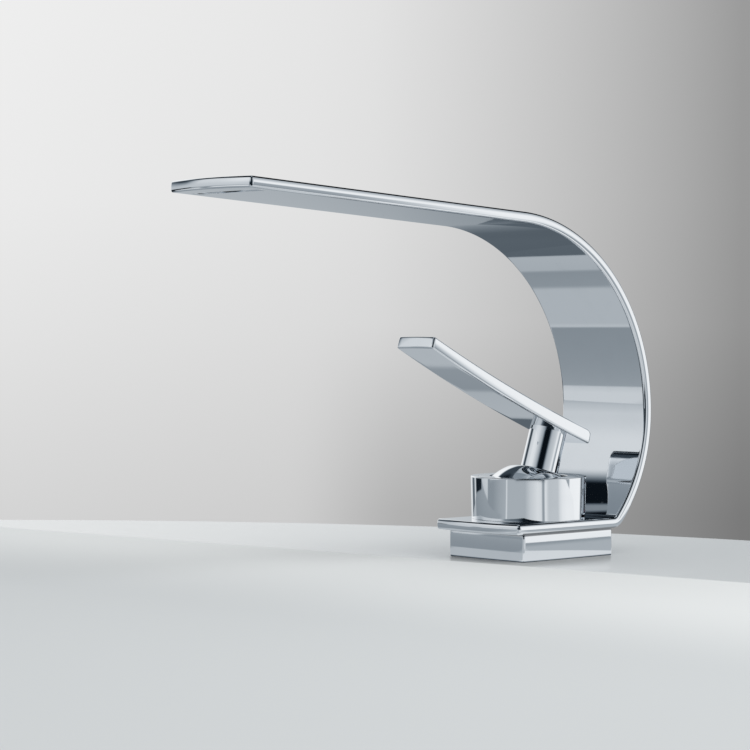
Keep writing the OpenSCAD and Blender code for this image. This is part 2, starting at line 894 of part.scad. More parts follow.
module stud_nut() {
    color([0.80, 0.65, 0.36])
        translate([0, stud_y, nut_z])
            difference() {
                cylinder(d = nut_af / cos(30), h = nut_h, $fn = 6);
                translate([0, 0, -cut]) cylinder(d = stud_d, h = nut_h + 2 * cut);
            }
}

foot_block();
deck_seal();
spout_shell();
spout_cover();
port_seal();
spout_screws();
valve_body();
valve_o_rings();
clamp_ring();
valve_housing();
trim_ring();
cartridge_cup();
cartridge_base();
base_seals();
fixed_disc();
cartridge_nut();
cartridge_collar();
limit_ring();
tilt_pin();
moving_disc();
disc_carrier();
spindle();
handle_dome();
handle_stem();
lever_blade();
grub_screw();
screw_plug();
fixing_stud();
rubber_washer();
steel_washer();
stud_nut();
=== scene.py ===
"""Looks of a single-lever mixer with a ribbon spout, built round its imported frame.

Everything is in metres in the frame of the part: the valve axis is Z, the deck is at zero
height and the spout reaches towards -Y.
"""

import json
import logging
import math
from collections.abc import Callable
from dataclasses import dataclass, field
from enum import Enum

import bmesh
import bpy
import numpy as np
from mathutils import Matrix

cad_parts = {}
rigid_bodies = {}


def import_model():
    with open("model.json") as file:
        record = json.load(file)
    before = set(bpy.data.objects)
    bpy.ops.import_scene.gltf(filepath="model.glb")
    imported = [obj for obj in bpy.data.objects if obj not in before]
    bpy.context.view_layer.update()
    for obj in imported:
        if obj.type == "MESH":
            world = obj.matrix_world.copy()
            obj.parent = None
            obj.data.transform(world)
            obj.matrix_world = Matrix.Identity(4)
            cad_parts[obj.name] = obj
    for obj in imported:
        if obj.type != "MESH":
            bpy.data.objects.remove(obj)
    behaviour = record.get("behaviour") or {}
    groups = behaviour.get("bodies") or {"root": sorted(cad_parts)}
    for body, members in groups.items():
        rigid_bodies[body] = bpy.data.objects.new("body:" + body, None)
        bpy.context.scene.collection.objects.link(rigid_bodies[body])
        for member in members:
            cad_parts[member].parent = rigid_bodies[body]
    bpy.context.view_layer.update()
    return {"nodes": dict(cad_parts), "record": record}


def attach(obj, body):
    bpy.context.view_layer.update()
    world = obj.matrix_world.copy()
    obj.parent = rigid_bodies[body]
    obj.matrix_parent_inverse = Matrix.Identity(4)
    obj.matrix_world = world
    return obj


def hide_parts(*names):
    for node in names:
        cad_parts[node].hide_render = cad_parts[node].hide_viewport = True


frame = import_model()

LOG = logging.getLogger("mixer")
MM = 0.001
# Points nearer than WELD become one. Edges that turn by more degrees than CREASE stay sharp.
WELD = 0.0008 * MM
CREASE = 32.0
# Plan of the foot block in millimetres. The painted shade in its joint and on the deck follows it.
FOOT_WIDTH = 45.2
FOOT_DEPTH = 55.8
FOOT_SHIFT = 1.65
Colour = tuple[float, float, float]
Point = tuple[float, float, float]


class Body(Enum):
    """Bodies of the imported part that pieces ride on."""

    FIXED = "body"
    HANDLE = "handle"


class Slot(Enum):
    """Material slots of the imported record."""

    CHROME = "chrome"
    BRASS = "raw_brass"
    STEEL = "steel"
    DARK_STEEL = "dark_steel"
    RUBBER = "seal_rubber"
    WHITE_PLASTIC = "cartridge_plastic"
    GREY_PLASTIC = "carrier_plastic"
    RED_PLASTIC = "limit_plastic"
    PLUG_PLASTIC = "plug_plastic"
    CERAMIC = "ceramic"


# Shader graphs


class Value:
    """A node's output socket that takes Python arithmetic."""

    def __init__(self, graph: "Graph", socket: bpy.types.NodeSocket) -> None:
        """Keeps the graph that new Math nodes go to, and the socket."""
        self.graph = graph
        self.socket = socket

    def __add__(self, other: "Value | float") -> "Value":
        """Sum."""
        return self.graph.math("ADD", self, other)

    __radd__ = __add__

    def __sub__(self, other: "Value | float") -> "Value":
        """Difference."""
        return self.graph.math("SUBTRACT", self, other)

    def __rsub__(self, other: float) -> "Value":
        """Difference from a number."""
        return self.graph.math("SUBTRACT", other, self)

    def __mul__(self, other: "Value | float") -> "Value":
        """Product."""
        return self.graph.math("MULTIPLY", self, other)

    __rmul__ = __mul__

    def __truediv__(self, other: "Value | float") -> "Value":
        """Quotient."""
        return self.graph.math("DIVIDE", self, other)

    def power(self, exponent: float) -> "Value":
        """This value raised to a power."""
        return self.graph.math("POWER", self, exponent)

    def least(self, other: "Value | float") -> "Value":
        """The smaller of two values."""
        return self.graph.math("MINIMUM", self, other)

    def most(self, other: "Value | float") -> "Value":
        """The larger of two values."""
        return self.graph.math("MAXIMUM", self, other)

    def step(self, low: float, high: float) -> "Value":
        """Smooth rise from 0 to 1 between two levels; falls if low is above high."""
        return self.graph.value(
            "ShaderNodeMapRange",
            {"Value": self, "From Min": low, "From Max": high},
            "Result",
            interpolation_type="SMOOTHSTEP",
        )

    def band(self, start: float, full: float, fading: float, end: float) -> "Value":
        """Smooth rise from start to full, then smooth fall from fading to end."""
        return self.step(start, full) * self.step(end, fading)

    def covered(self, share: "Value", other: "Value | float") -> "Value":
        """This value where share is 0, the other where it is 1."""
        return self * (1 - share) + share * other

    def __abs__(self) -> "Value":
        """Distance from zero."""
        return self.graph.math("ABSOLUTE", self)


class Graph:
    """Adds nodes to one node tree."""

    def __init__(self, tree: bpy.types.NodeTree) -> None:
        """Starts from an empty tree.

        Args:
            tree: The node tree of a material or a world.
        """
        tree.nodes.clear()
        self.tree = tree

    def node(self, kind: str, inputs: dict | None = None, **settings: object) -> bpy.types.Node:
        """Adds one node.

        Args:
            kind: Blender's name of the node's type.
            inputs: Numbers, colours or Values by socket name or place.
            settings: Properties, set before the sockets.

        Returns:
            The node.
        """
        made = self.tree.nodes.new(kind)
        for name, value in settings.items():
            setattr(made, name, value)
        for name, value in (inputs or {}).items():
            if isinstance(value, Value):
                self.tree.links.new(value.socket, made.inputs[name])
            else:
                made.inputs[name].default_value = value
        return made

    def value(
        self, kind: str, inputs: dict | None = None, output: int | str = 0, **settings: object
    ) -> Value:
        """Adds a node as node() does and returns its output of the given name or place."""
        return Value(self, self.node(kind, inputs, **settings).outputs[output])

    def math(self, operation: str, *terms: "Value | float") -> Value:
        """Result of a Math node on numbers or Values."""
        return self.value("ShaderNodeMath", dict(enumerate(terms)), operation=operation)

    def mix(self, factor: "Value | float", low: "Value | Colour", high: "Value | Colour") -> Value:
        """Mixes two colours: factor 0 gives low and 1 gives high."""
        low, high = (c if isinstance(c, Value) else (*c, 1.0) for c in (low, high))
        return self.value("ShaderNodeMix", {0: factor, 6: low, 7: high}, 2, data_type="RGBA")

    def place(self, scale: Point = (1.0, 1.0, 1.0)) -> Value:
        """Object coordinates in millimetres, stretched along each axis."""
        coords = self.value("ShaderNodeTexCoord", output="Object")
        factors = tuple(s / MM for s in scale)
        return self.value("ShaderNodeVectorMath", {0: coords, 1: factors}, operation="MULTIPLY")

    def noise(self, place: Value, size: float, detail: float = 2.0) -> Value:
        """Noise from 0 to 1 whose features are about as wide as size."""
        inputs = {"Vector": place, "Scale": 1.0 / size, "Detail": detail}
        return self.value("ShaderNodeTexNoise", inputs)

    def split(self, vector: Value) -> tuple[Value, Value, Value]:
        """The three parts of a vector."""
        made = self.node("ShaderNodeSeparateXYZ", {0: vector})
        return tuple(Value(self, socket) for socket in made.outputs)

    def bump(self, height: Value, depth_mm: float) -> Value:
        """Normal of a relief: height 0 to 1 stands for depth_mm."""
        return self.value("ShaderNodeBump", {"Distance": depth_mm * MM, "Height": height})


def new_material(
    name: str,
    shader: Callable[[Graph], dict],
    cover: Callable[[Graph, Value], Value] | None = None,
) -> bpy.types.Material:
    """Makes a material round one Principled shader.

    Args:
        name: The material's name.
        shader: Takes the graph and returns the shader's sockets by name.
        cover: Takes the graph and the shader and returns what is seen instead.

    Returns:
        The material.
    """
    material = bpy.data.materials.new(name)
    material.use_nodes = True
    graph = Graph(material.node_tree)
    surface = graph.value("ShaderNodeBsdfPrincipled", shader(graph))
    if cover:
        surface = cover(graph, surface)
    graph.node("ShaderNodeOutputMaterial", {0: surface})
    return material


# Finishes


def past_foot(x: Value, y: Value) -> Value:
    """Distance in plan past the foot block's outline, negative within it."""
    return (abs(x) - FOOT_WIDTH / 2).most(abs(y - FOOT_SHIFT) - FOOT_DEPTH / 2)


@dataclass(frozen=True)
class MirrorChrome:
    """Polished chrome plate: faint waviness, wiping haze, a few dried spots.

    A line of painted shade darkens the crevice between the foot and the ribbon on it.
    Sizes and levels are in millimetres.
    """

    colour: Colour = (0.86, 0.885, 0.91)
    dull_colour: Colour = (0.74, 0.77, 0.80)
    # Colour of the painted shade in the crevice between the foot and the ribbon.
    crevice_shade_colour: Colour = (0.10, 0.11, 0.12)
    gloss: float = 0.025
    haze: float = 0.035
    haze_size: float = 9.0
    spot_size: float = 11.0
    wave_size: float = 26.0
    grain_size: float = 0.6
    wave_mm: float = 0.006
    crevice_shade_levels: tuple[float, float, float, float] = (10.75, 11.15, 12.3, 12.7)
    crevice_shade_reach: float = 2.5
    crevice_shade_blur: float = 0.3

    def sockets(self, graph: Graph) -> dict:
        """Sockets of the shader."""
        place = graph.place()
        wiped = graph.noise(graph.place((1.0, 0.35, 1.0)), self.haze_size, 4.0).step(0.48, 0.72)
        cells = {"Vector": place, "Scale": 1 / self.spot_size}
        spot = graph.value("ShaderNodeTexVoronoi", cells, "Distance", feature="F1").step(0.10, 0.04)
        few = graph.noise(place, 30.0).step(0.60, 0.66)
        wave = graph.noise(place, self.wave_size, 1.0) + 0.012 * graph.noise(place, self.grain_size)
        dulled = graph.mix(0.10 * wiped, self.colour, self.dull_colour)
        x, y, z = graph.split(place)
        # Painted shade: the base colour turns dark in a band of heights along the foot's outline.
        crevice_shade = z.band(*self.crevice_shade_levels) * past_foot(x, y).step(
            self.crevice_shade_reach + self.crevice_shade_blur, self.crevice_shade_reach
        )
        return {
            "Base Color": graph.mix(0.85 * crevice_shade, dulled, self.crevice_shade_colour),
            "Metallic": 1.0,
            "Roughness": self.gloss + self.haze * wiped + 0.05 * spot * few,
            "Normal": graph.bump(wave, self.wave_mm),
        }


@dataclass(frozen=True)
class TurnedMetal:
    """Lathe-turned metal: fine rings along Z, tarnish in patches."""

    colour: Colour
    tarnish: Colour
    gloss: float = 0.22
    ring_mm: float = 0.25
    patch_mm: float = 7.0
    relief_mm: float = 0.012

    def sockets(self, graph: Graph) -> dict:
        """Sockets of the shader."""
        place = graph.place()
        rings = graph.noise(graph.place((0.05, 0.05, 1.0)), self.ring_mm, 1.0)
        patch = graph.noise(place, self.patch_mm, 5.0).step(0.42, 0.70)
        return {
            "Base Color": graph.mix(patch, self.colour, self.tarnish),
            "Metallic": 1.0,
            "Roughness": self.gloss + 0.16 * patch + 0.05 * rings,
            "Normal": graph.bump(rings, self.relief_mm),
        }


@dataclass(frozen=True)
class Moulded:
    """Moulded plastic or rubber: fine grain and slightly uneven colour."""

    colour: Colour
    shade: Colour
    gloss: float
    grain_mm: float = 0.35
    relief_mm: float = 0.01
    cloud_mm: float = 6.0

    def sockets(self, graph: Graph) -> dict:
        """Sockets of the shader."""
        place = graph.place()
        grain = graph.noise(place, self.grain_mm, 3.0)
        cloud = graph.noise(place, self.cloud_mm, 3.0)
        return {
            "Base Color": graph.mix(cloud.step(0.35, 0.75), self.colour, self.shade),
            "Roughness": self.gloss + 0.12 * grain,
            "Normal": graph.bump(grain, self.relief_mm),
        }


@dataclass(frozen=True)
class HotColdPlug:
    """Plug with a red half and a blue half, parted by a grey line down its middle."""

    red: Colour = (0.62, 0.03, 0.03)
    blue: Colour = (0.03, 0.10, 0.55)
    grey: Colour = (0.45, 0.47, 0.50)
    line_mm: float = 0.76
    blur_mm: float = 0.08
    grain_mm: float = 0.3
    relief_mm: float = 0.005

    def sockets(self, graph: Graph) -> dict:
        """Sockets of the shader."""
        across, _, _ = graph.split(graph.place())
        halves = graph.mix(across.step(-0.05, 0.05), self.blue, self.red)
        half, blur = self.line_mm / 2, self.blur_mm / 2
        line = abs(across).step(half + blur, half - blur)
        grain = graph.noise(graph.place(), self.grain_mm)
        return {
            "Base Color": graph.mix(line, halves, self.grey),
            "Roughness": 0.28 + 0.1 * grain,
            "Normal": graph.bump(grain, self.relief_mm),
        }


FINISHES: dict[Slot, MirrorChrome | TurnedMetal | Moulded | HotColdPlug] = {
    Slot.CHROME: MirrorChrome(),
    Slot.BRASS: TurnedMetal((0.80, 0.62, 0.32), (0.55, 0.38, 0.18)),
    Slot.STEEL: TurnedMetal((0.62, 0.63, 0.65), (0.45, 0.46, 0.47), 0.28),
    Slot.DARK_STEEL: TurnedMetal((0.12, 0.12, 0.13), (0.07, 0.07, 0.08), 0.34),
    Slot.RUBBER: Moulded((0.030, 0.030, 0.032), (0.045, 0.045, 0.045), 0.62, 0.4, 0.03),
    Slot.WHITE_PLASTIC: Moulded((0.84, 0.84, 0.81), (0.78, 0.78, 0.74), 0.30),
    Slot.GREY_PLASTIC: Moulded((0.15, 0.16, 0.17), (0.11, 0.12, 0.13), 0.42),
    Slot.RED_PLASTIC: Moulded((0.62, 0.05, 0.04), (0.52, 0.04, 0.03), 0.30),
    Slot.PLUG_PLASTIC: HotColdPlug(),
    Slot.CERAMIC: Moulded((0.90, 0.89, 0.85), (0.86, 0.85, 0.80), 0.10, 0.2, 0.002),
}


class Paintbox:
    """Makes each slot's material once."""

    def __init__(self) -> None:
        """Starts with no materials."""
        self.made: dict[Slot, bpy.types.Material] = {}

    def material(self, slot: Slot) -> bpy.types.Material:
        """The material of a slot."""
        if slot not in self.made:
            self.made[slot] = new_material(slot.value, FINISHES[slot].sockets)
        return self.made[slot]


# Surfaces


class Surface:
    """A mesh in the making, gathered from grids of points."""

    def __init__(self) -> None:
        """Starts empty."""
        self.points: list[np.ndarray] = []
        self.faces: list[np.ndarray] = []
        self.count = 0

    def add_grid(
        self, grid: np.ndarray, closed: bool = False, keep: np.ndarray | None = None
    ) -> None:
        """Adds a grid of quads.

        Args:
            grid: Points, rows by columns by 3.
            closed: Joins the last row to the first.
            keep: Which quads to make, rows less one by columns less one.
        """
        if closed:
            grid = np.concatenate([grid, grid[:1]])
        rows, columns = grid.shape[:2]
        index = np.arange(rows * columns).reshape(rows, columns) + self.count
        quads = np.stack([index[:-1, :-1], index[1:, :-1], index[1:, 1:], index[:-1, 1:]], axis=-1)
        self.faces.append(quads[keep] if keep is not None else quads.reshape(-1, 4))
        self.points.append(grid.reshape(-1, 3))
        self.count += rows * columns

    def mesh(self, name: str) -> bpy.types.Mesh:
        """Joins the grids where they touch, turns faces outwards and shades them."""
        mesh = bpy.data.meshes.new(name)
        points, faces = np.concatenate(self.points), np.concatenate(self.faces)
        mesh.from_pydata(points.tolist(), [], faces.tolist())
        welded = bmesh.new()
        welded.from_mesh(mesh)
        bmesh.ops.remove_doubles(welded, verts=welded.verts, dist=WELD)
        bmesh.ops.dissolve_degenerate(welded, edges=welded.edges, dist=WELD)
        bmesh.ops.recalc_face_normals(welded, faces=welded.faces)
        welded.to_mesh(mesh)
        welded.free()
        shade(mesh)
        return mesh


def shade(mesh: bpy.types.Mesh) -> None:
    """Shades a mesh smoothly, apart from its sharp edges."""
    mesh.polygons.foreach_set("use_smooth", np.ones(len(mesh.polygons), bool))
    mesh.set_sharp_from_angle(angle=math.radians(CREASE))


def ring_mesh(name: str, grid: np.ndarray) -> bpy.types.Mesh:
    """Mesh of one grid whose last row joins the first."""
    shape = Surface()
    shape.add_grid(grid, closed=True)
    return shape.mesh(name)


def plate_mesh(name: str, face: np.ndarray, rim: np.ndarray, back: np.ndarray) -> bpy.types.Mesh:
    """Mesh of a plate from the grids of its face, its closed rim and its back."""
    shape = Surface()
    shape.add_grid(face)
    shape.add_grid(rim, closed=True)
    shape.add_grid(back)
    return shape.mesh(name)


def arc(start: float, stop: float, steps: int) -> np.ndarray:
    """Evenly spaced angles, given in degrees, as radians."""
    return np.radians(np.linspace(start, stop, steps))


def rounded_profile(corners: np.ndarray, radii: np.ndarray, steps: int = 7) -> np.ndarray:
    """Closed outline whose corners are rounded.

    Each corner is the quadratic curve between the two points where a circle of the given
    radius would touch the corner's sides, with the corner as its middle control point.
    A point just beside each curve keeps the straight sides shaded flat.

    Args:
        corners: Points of the outline, n by 2.
        radii: Radius at each corner, zero for a sharp one.
        steps: Points on each arc.

    Returns:
        The outline's points.
    """
    sides = np.linalg.norm(np.roll(corners, -1, axis=0) - corners, axis=1)
    before = np.roll(corners, 1, axis=0) - corners
    after = np.roll(corners, -1, axis=0) - corners
    before /= np.linalg.norm(before, axis=1, keepdims=True)
    after /= np.linalg.norm(after, axis=1, keepdims=True)
    half = np.arccos(np.clip((before * after).sum(axis=1), -1, 1)) / 2
    reach = (radii / np.tan(half))[:, None]
    share = np.linspace(0, 1, steps)[None, :, None]
    first, last = (corners + before * reach)[:, None], (corners + after * reach)[:, None]
    middle = corners[:, None]
    curve = first * (1 - share) ** 2 + 2 * middle * share * (1 - share) + last * share**2
    beside = 0.25 * np.minimum(sides, np.roll(sides, 1)).min(initial=0.8 * MM)
    lead = corners + before * (reach + beside)
    tail = corners + after * (reach + beside)
    return np.concatenate([lead[:, None], curve, tail[:, None]], axis=1).reshape(-1, 2)


def lathe(profile: np.ndarray, segments: int = 160) -> np.ndarray:
    """Turns a closed outline of radius and height about the Z axis.

    Args:
        profile: Radius and height of each point, n by 2.
        segments: Points round the axis.

    Returns:
        Grid of points, segments by n by 3.
    """
    turn = arc(0, 360, segments + 1)[:-1, None]
    outline = np.concatenate([profile, profile[:1]])
    radius, height = outline[None, :, 0], outline[None, :, 1]
    return np.stack(
        [radius * np.cos(turn), radius * np.sin(turn), height + 0 * turn], axis=-1
    )


@dataclass(frozen=True)
class HandleFrame:
    """Frame of the leaning handle: Z runs along the stem from the tilt axis."""

    pivot: float = 17.0 * MM
    lean: float = 18.8

    def to_part(self, points: np.ndarray) -> np.ndarray:
        """Turns points about the X axis by the lean and lifts them to the pivot."""
        angle = math.radians(self.lean)
        c, s = math.cos(angle), math.sin(angle)
        x, y, z = np.moveaxis(points, -1, 0)
        return np.stack([x, c * y + s * z, c * z - s * y + self.pivot], axis=-1)


def register(
    mesh: bpy.types.Mesh,
    body: Body,
    slot: Slot,
    paints: Paintbox,
    stands_for: tuple[str, ...] = (),
) -> bpy.types.Object:
    """Puts a finished mesh into the scene as a piece.

    Args:
        mesh: Mesh in the part's frame.
        body: Body it rides on.
        slot: Material slot of its finish.
        paints: Where materials come from.
        stands_for: CAD nodes that it replaces.

    Returns:
        The piece.
    """
    piece = bpy.data.objects.new(mesh.name, mesh)
    bpy.context.scene.collection.objects.link(piece)
    mesh.materials.append(paints.material(slot))
    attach(piece, body.value)
    if stands_for:
        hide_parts(*stands_for)
    LOG.info("%s: %d faces on %s", piece.name, len(mesh.polygons), body.value)
    return piece


def cut_away(mesh: bpy.types.Mesh, cutters: list[bpy.types.Mesh]) -> None:
    """Subtracts closed cutters from a mesh, in place, and removes them.

    Args:
        mesh: Mesh to cut.
        cutters: Meshes to take away.
    """
    scene = bpy.context.scene.collection.objects
    body = bpy.data.objects.new("cut_body", mesh)
    scene.link(body)
    for cutter in cutters:
        tool = bpy.data.objects.new("cut_tool", cutter)
        scene.link(tool)
        step = body.modifiers.new("cut", "BOOLEAN")
        step.object, step.operation, step.solver = tool, "DIFFERENCE", "EXACT"
        graph = bpy.context.evaluated_depsgraph_get()
        result = bpy.data.meshes.new_from_object(body.evaluated_get(graph))
        body.modifiers.clear()
        shape = bmesh.new()
        shape.from_mesh(result)
        bmesh.ops.remove_doubles(shape, verts=shape.verts, dist=WELD)
        shape.to_mesh(mesh)
        shape.free()
        bpy.data.meshes.remove(result)
        bpy.data.objects.remove(tool)
        bpy.data.meshes.remove(cutter)
    bpy.data.objects.remove(body)
    shade(mesh)


# Plates that follow a path


@dataclass(frozen=True)
class Edge:
    """Edge of a plate in cross-section: a shallow outward arc between two tight ones."""

    tight: float
    swell: float = 9.0
    tight_steps: int = 9
    side_steps: int = 7

    def profile(self, thickness: float) -> tuple[np.ndarray, np.ndarray]:
        """Inset from the plate's outline and depth below its face, from face to face.

        The face's normal turns from 0 to 180 degrees along the profile. The tight arcs
        take it to swell degrees short of the side's middle and the shallow arc past it.

        Args:
            thickness: Distance between the plate's faces.

        Returns:
            Insets and depths.
        """
        swell = math.radians(self.swell)
        wide = (thickness / 2 - self.tight * (1 - math.sin(swell))) / math.sin(swell)
        near = arc(0, 90 - self.swell, self.tight_steps)
        side = arc(90 - self.swell, 90 + self.swell, self.side_steps)[1:-1]
        total = self.tight * math.cos(swell) + wide * (1 - math.cos(swell))
        near_inset = total - self.tight * np.sin(near)
        near_depth = self.tight * (1 - np.cos(near))
        side_inset = wide * (1 - np.sin(side))
        side_depth = thickness / 2 - wide * np.cos(side)
        inset = np.concatenate([near_inset, side_inset, near_inset[::-1]])
        depth = np.concatenate([near_depth, side_depth, thickness - near_depth[::-1]])
        return inset, depth


@dataclass
class Plate:
    """A plate whose face follows a path, with rounded corners and bowed ends.

    A point of the plate has a distance t along the path, a distance x across it and a
    depth below its face. Bowing moves a point back along the path by the bow's height
    at x, fully at the ends and less further in.
    """

    width: float
    thickness: float
    start: float
    stop: float
    edge: Edge
    follow: Callable[[np.ndarray], tuple[np.ndarray, np.ndarray, np.ndarray]]
    corner: float
    start_bow: float = 0.0
    stop_bow: float = 0.0
    side_bow: float = 0.0
    bow_reach: float = 30 * MM
    thickness_at: Callable[[np.ndarray], np.ndarray] | None = None
    stations: np.ndarray = field(default_factory=lambda: np.zeros(0))
    across: np.ndarray = field(default_factory=lambda: np.linspace(-1, 1, 25))
    corner_steps: int = 9

    def put(self, x: np.ndarray, t: np.ndarray, depth: np.ndarray) -> np.ndarray:
        """Places points of the plate.

        Args:
            x: Distance across.
            t: Distance along the path before bowing.
            depth: Share of the thickness below the face, from 0 to 1.

        Returns:
            Points in the part's frame.
        """
        x, t, depth = np.broadcast_arrays(x, t, depth)
        near_stop = np.clip((t - self.stop + self.bow_reach) / self.bow_reach, 0, 1) ** 2
        near_start = np.clip((self.start + self.bow_reach - t) / self.bow_reach, 0, 1) ** 2
        bowed = (2 * x / self.width) ** 2
        t = t - bowed * (self.stop_bow * near_stop - self.start_bow * near_start)
        y, z, turn = self.follow(t)
        thick = self.thickness_at(t) if self.thickness_at else self.thickness
        down = depth * thick
        return np.stack([x, y - down * np.cos(turn), z - down * np.sin(turn)], axis=-1)

    def rows(self, inset: float) -> tuple[np.ndarray, np.ndarray]:
        """Distance along and half width of each row, for an outline drawn in by inset."""
        ends = arc(0, 90, self.corner_steps)
        radius = self.corner - inset
        reach = self.corner - radius * np.sin(ends)
        narrow = self.width / 2 - self.corner + radius * np.cos(ends)
        flat = np.full(len(self.stations), self.width / 2 - inset)
        t = np.concatenate([self.start + reach[::-1], self.stations, self.stop - reach])
        half = np.concatenate([narrow[::-1], flat, narrow])
        middle = (self.start + self.stop) / 2
        share = (t - middle) / (self.stop - middle)
        return t, half - self.side_bow * share**2

    def face(self, depth: np.ndarray | float) -> np.ndarray:
        """Grid over the plate's whole face at a share of its thickness."""
        t, half = self.rows(self.edge.profile(self.thickness)[0][0])
        return self.put(half[:, None] * self.across[None], t[:, None], depth)

    def rim(self) -> np.ndarray:
        """Closed grid round the plate's edge, from its face to its back."""
        insets, depths = self.edge.profile(self.thickness)
        loops = []
        for inset, depth in zip(insets, depths / self.thickness, strict=True):
            t, half = self.rows(inset)
            inner = self.across[1:-1]
            x = np.concatenate([half, half[-1] * inner[::-1], -half[::-1], half[0] * inner])
            first, last = np.full(len(inner), t[0]), np.full(len(inner), t[-1])
            run = np.concatenate([t, last, t[::-1], first])
            loops.append(self.put(x, run, np.array(depth)))
        return np.stack(loops, axis=1)


def stretches(
    marks: list[float], counts: tuple[int, ...], levels: tuple[int, ...]
) -> tuple[np.ndarray, np.ndarray]:
    """Places along a line that marks divide into stretches, each on its own level.

    A mark between two levels is there twice, one on each level.

    Args:
        marks: Ends of the stretches.
        counts: Places on each stretch, both its ends counted.
        levels: Level of each stretch.

    Returns:
        The places, and the level of each.
    """
    places, found, before = [], [], None
    for start, stop, count, level in zip(marks[:-1], marks[1:], counts, levels, strict=True):
        run = np.linspace(start, stop, count)[int(level == before) :]
        places.append(run)
        found.append(np.full(len(run), level))
        before = level
    return np.concatenate(places), np.concatenate(found)


# The spout


@dataclass
class Ribbon:
    """The hollow ribbon: lower leg, heel, two bends and the spout with its outlet."""

    width: float = 50.0 * MM
    thickness: float = 4.5 * MM
    foot_height: float = 11.8 * MM
    spout_reach: float = 179.03 * MM
    spout_rise: float = 3.4
    back_reach: float = 52.4 * MM
    knee_height: float = 62.2 * MM
    upper_radius: float = 85.0 * MM
    lower_radius: float = 70.0 * MM
    heel_radius: float = 8.0 * MM
    lip_reach: float = 34.2 * MM
    end_bow: float = 3.0 * MM
    corner: float = 1.3 * MM
    cover_width: float = 46.0 * MM
    cover_thickness: float = 1.2 * MM
    skin: float = 1.0 * MM
    slot_width: float = 40.0 * MM
    slot_length: float = 3.5 * MM
    slot_back: float = 11.8 * MM
    slot_land: float = 2.0 * MM
    slot_round: float = 0.3 * MM
    cover_from: float = 18.5 * MM
    valve_hole: float = 16.8 * MM
    edge: Edge = Edge(1.15 * MM)

    def __post_init__(self) -> None:
        """Works out where the straight runs and arcs of the path meet."""
        self.heel_z = self.foot_height + self.heel_radius
        lower_y = self.back_reach - self.lower_radius
        upper_y = self.back_reach - self.upper_radius
        drop, inner = self.knee_height - self.heel_z, self.lower_radius - self.heel_radius
        self.heel_turn = math.asin(drop / inner)
        self.heel_y = lower_y + math.sqrt(inner**2 - drop**2)
        self.top_turn = math.radians(90 - self.spout_rise)
        self.centres = np.array(
            [
                [self.heel_y, self.heel_z, self.heel_radius],
                [lower_y, self.knee_height, self.lower_radius],
                [upper_y, self.knee_height, self.upper_radius],
            ]
        )
        self.turns = np.array([-math.pi / 2, -self.heel_turn, 0.0, self.top_turn])
        lengths = self.centres[:, 2] * np.diff(self.turns)
        leg = self.heel_y + self.lip_reach
        self.joints = leg + np.concatenate([[0.0], np.cumsum(lengths)])
        self.spout_start = (
            upper_y + self.upper_radius * math.cos(self.top_turn),
            self.knee_height + self.upper_radius * math.sin(self.top_turn),
        )
        rise = math.radians(self.spout_rise)
        self.stop = self.joints[-1] + (self.spout_reach + self.spout_start[0]) / math.cos(rise)
        self.slot_at = self.stop - self.slot_back

    def follow(self, s: np.ndarray) -> tuple[np.ndarray, np.ndarray, np.ndarray]:
        """Outer path of the ribbon, by its length from the middle of the lip.

        On an arc the turn grows by length over radius, and the point is the arc's centre
        plus its radius in the turn's direction. The runs before and after are straight.

        Args:
            s: Distances along the path.

        Returns:
            Y, Z and the turn of the outward normal at each distance.
        """
        part = np.clip(np.searchsorted(self.joints, s) - 1, 0, 2)
        y0, z0, radius = np.moveaxis(self.centres[part], -1, 0)
        clipped = np.clip(s, self.joints[0], self.joints[-1])
        turn = self.turns[part] + (clipped - self.joints[part]) / radius
        over = s - clipped
        y = y0 + radius * np.cos(turn) - over * np.sin(turn)
        z = z0 + radius * np.sin(turn) + over * np.cos(turn)
        return y, z, turn

    def plate(self) -> tuple[Plate, np.ndarray, np.ndarray]:
        """The ribbon as a plate, with the level of each row and column of its inner face.

        Level 0 is the full thickness, 1 the seat of the cover and 2 the channel seen
        through the outlet. Rows and columns are doubled where the level changes.

        Returns:
            The plate, the rows' levels and the columns' levels.
        """
        half = self.width / 2 - self.edge.profile(self.thickness)[0][0]
        reach = self.slot_length / 2 + self.slot_round
        corner = 1.02 * self.corner
        marks = [
            corner,
            self.joints[0] - self.heel_y + self.cover_from,
            *self.joints,
            self.slot_at - reach,
            self.slot_at + reach,
            self.slot_at + self.slot_length / 2 + self.slot_land,
            self.stop - corner,
        ]
        counts = (24, 8, 22, 46, 170, 60, 7, 4, 6)
        stations, levels = stretches(marks, counts, (0, 1, 1, 1, 1, 1, 2, 1, 0))
        marks = [0.0, self.slot_width / 2 + self.slot_round, self.cover_width / 2, half]
        right, right_levels = stretches(marks, (14, 4, 4), (2, 1, 0))
        made = Plate(
            self.width, self.thickness, 0.0, self.stop, self.edge, self.follow,
            self.corner, self.end_bow, self.end_bow,
            stations=stations, across=np.concatenate([-right[:0:-1], right]) / half,
        )
        row_levels = np.pad(levels, made.corner_steps)
        return made, row_levels, np.concatenate([right_levels[:0:-1], right_levels])

    def build(self, paints: Paintbox) -> None:
        """Makes the shell with its recess, and the cover strip that lies flush in it."""
        plate, rows, columns = self.plate()
        level = np.minimum(rows[:, None], columns[None])
        t = plate.thickness
        depths = np.array([1.0, (t - self.cover_thickness - 0.05 * MM) / t, self.skin / t])
        shell = plate_mesh("spout_shell_skin", plate.face(0.0), plate.rim(), plate.face(depths[level]))
        cut_away(shell, [self._bore()])
        register(shell, Body.FIXED, Slot.CHROME, paints, ("spout_shell",))
        self._cover(plate, rows, columns, paints)

    def _bore(self) -> bpy.types.Mesh:
        """Cutter for the hole that the valve body passes through."""
        low, high = self.foot_height - MM, self.foot_height + self.thickness + MM
        r = self.valve_hole
        return ring_mesh("bore", lathe(np.array([[0, low], [r, low], [r, high], [0, high]])))

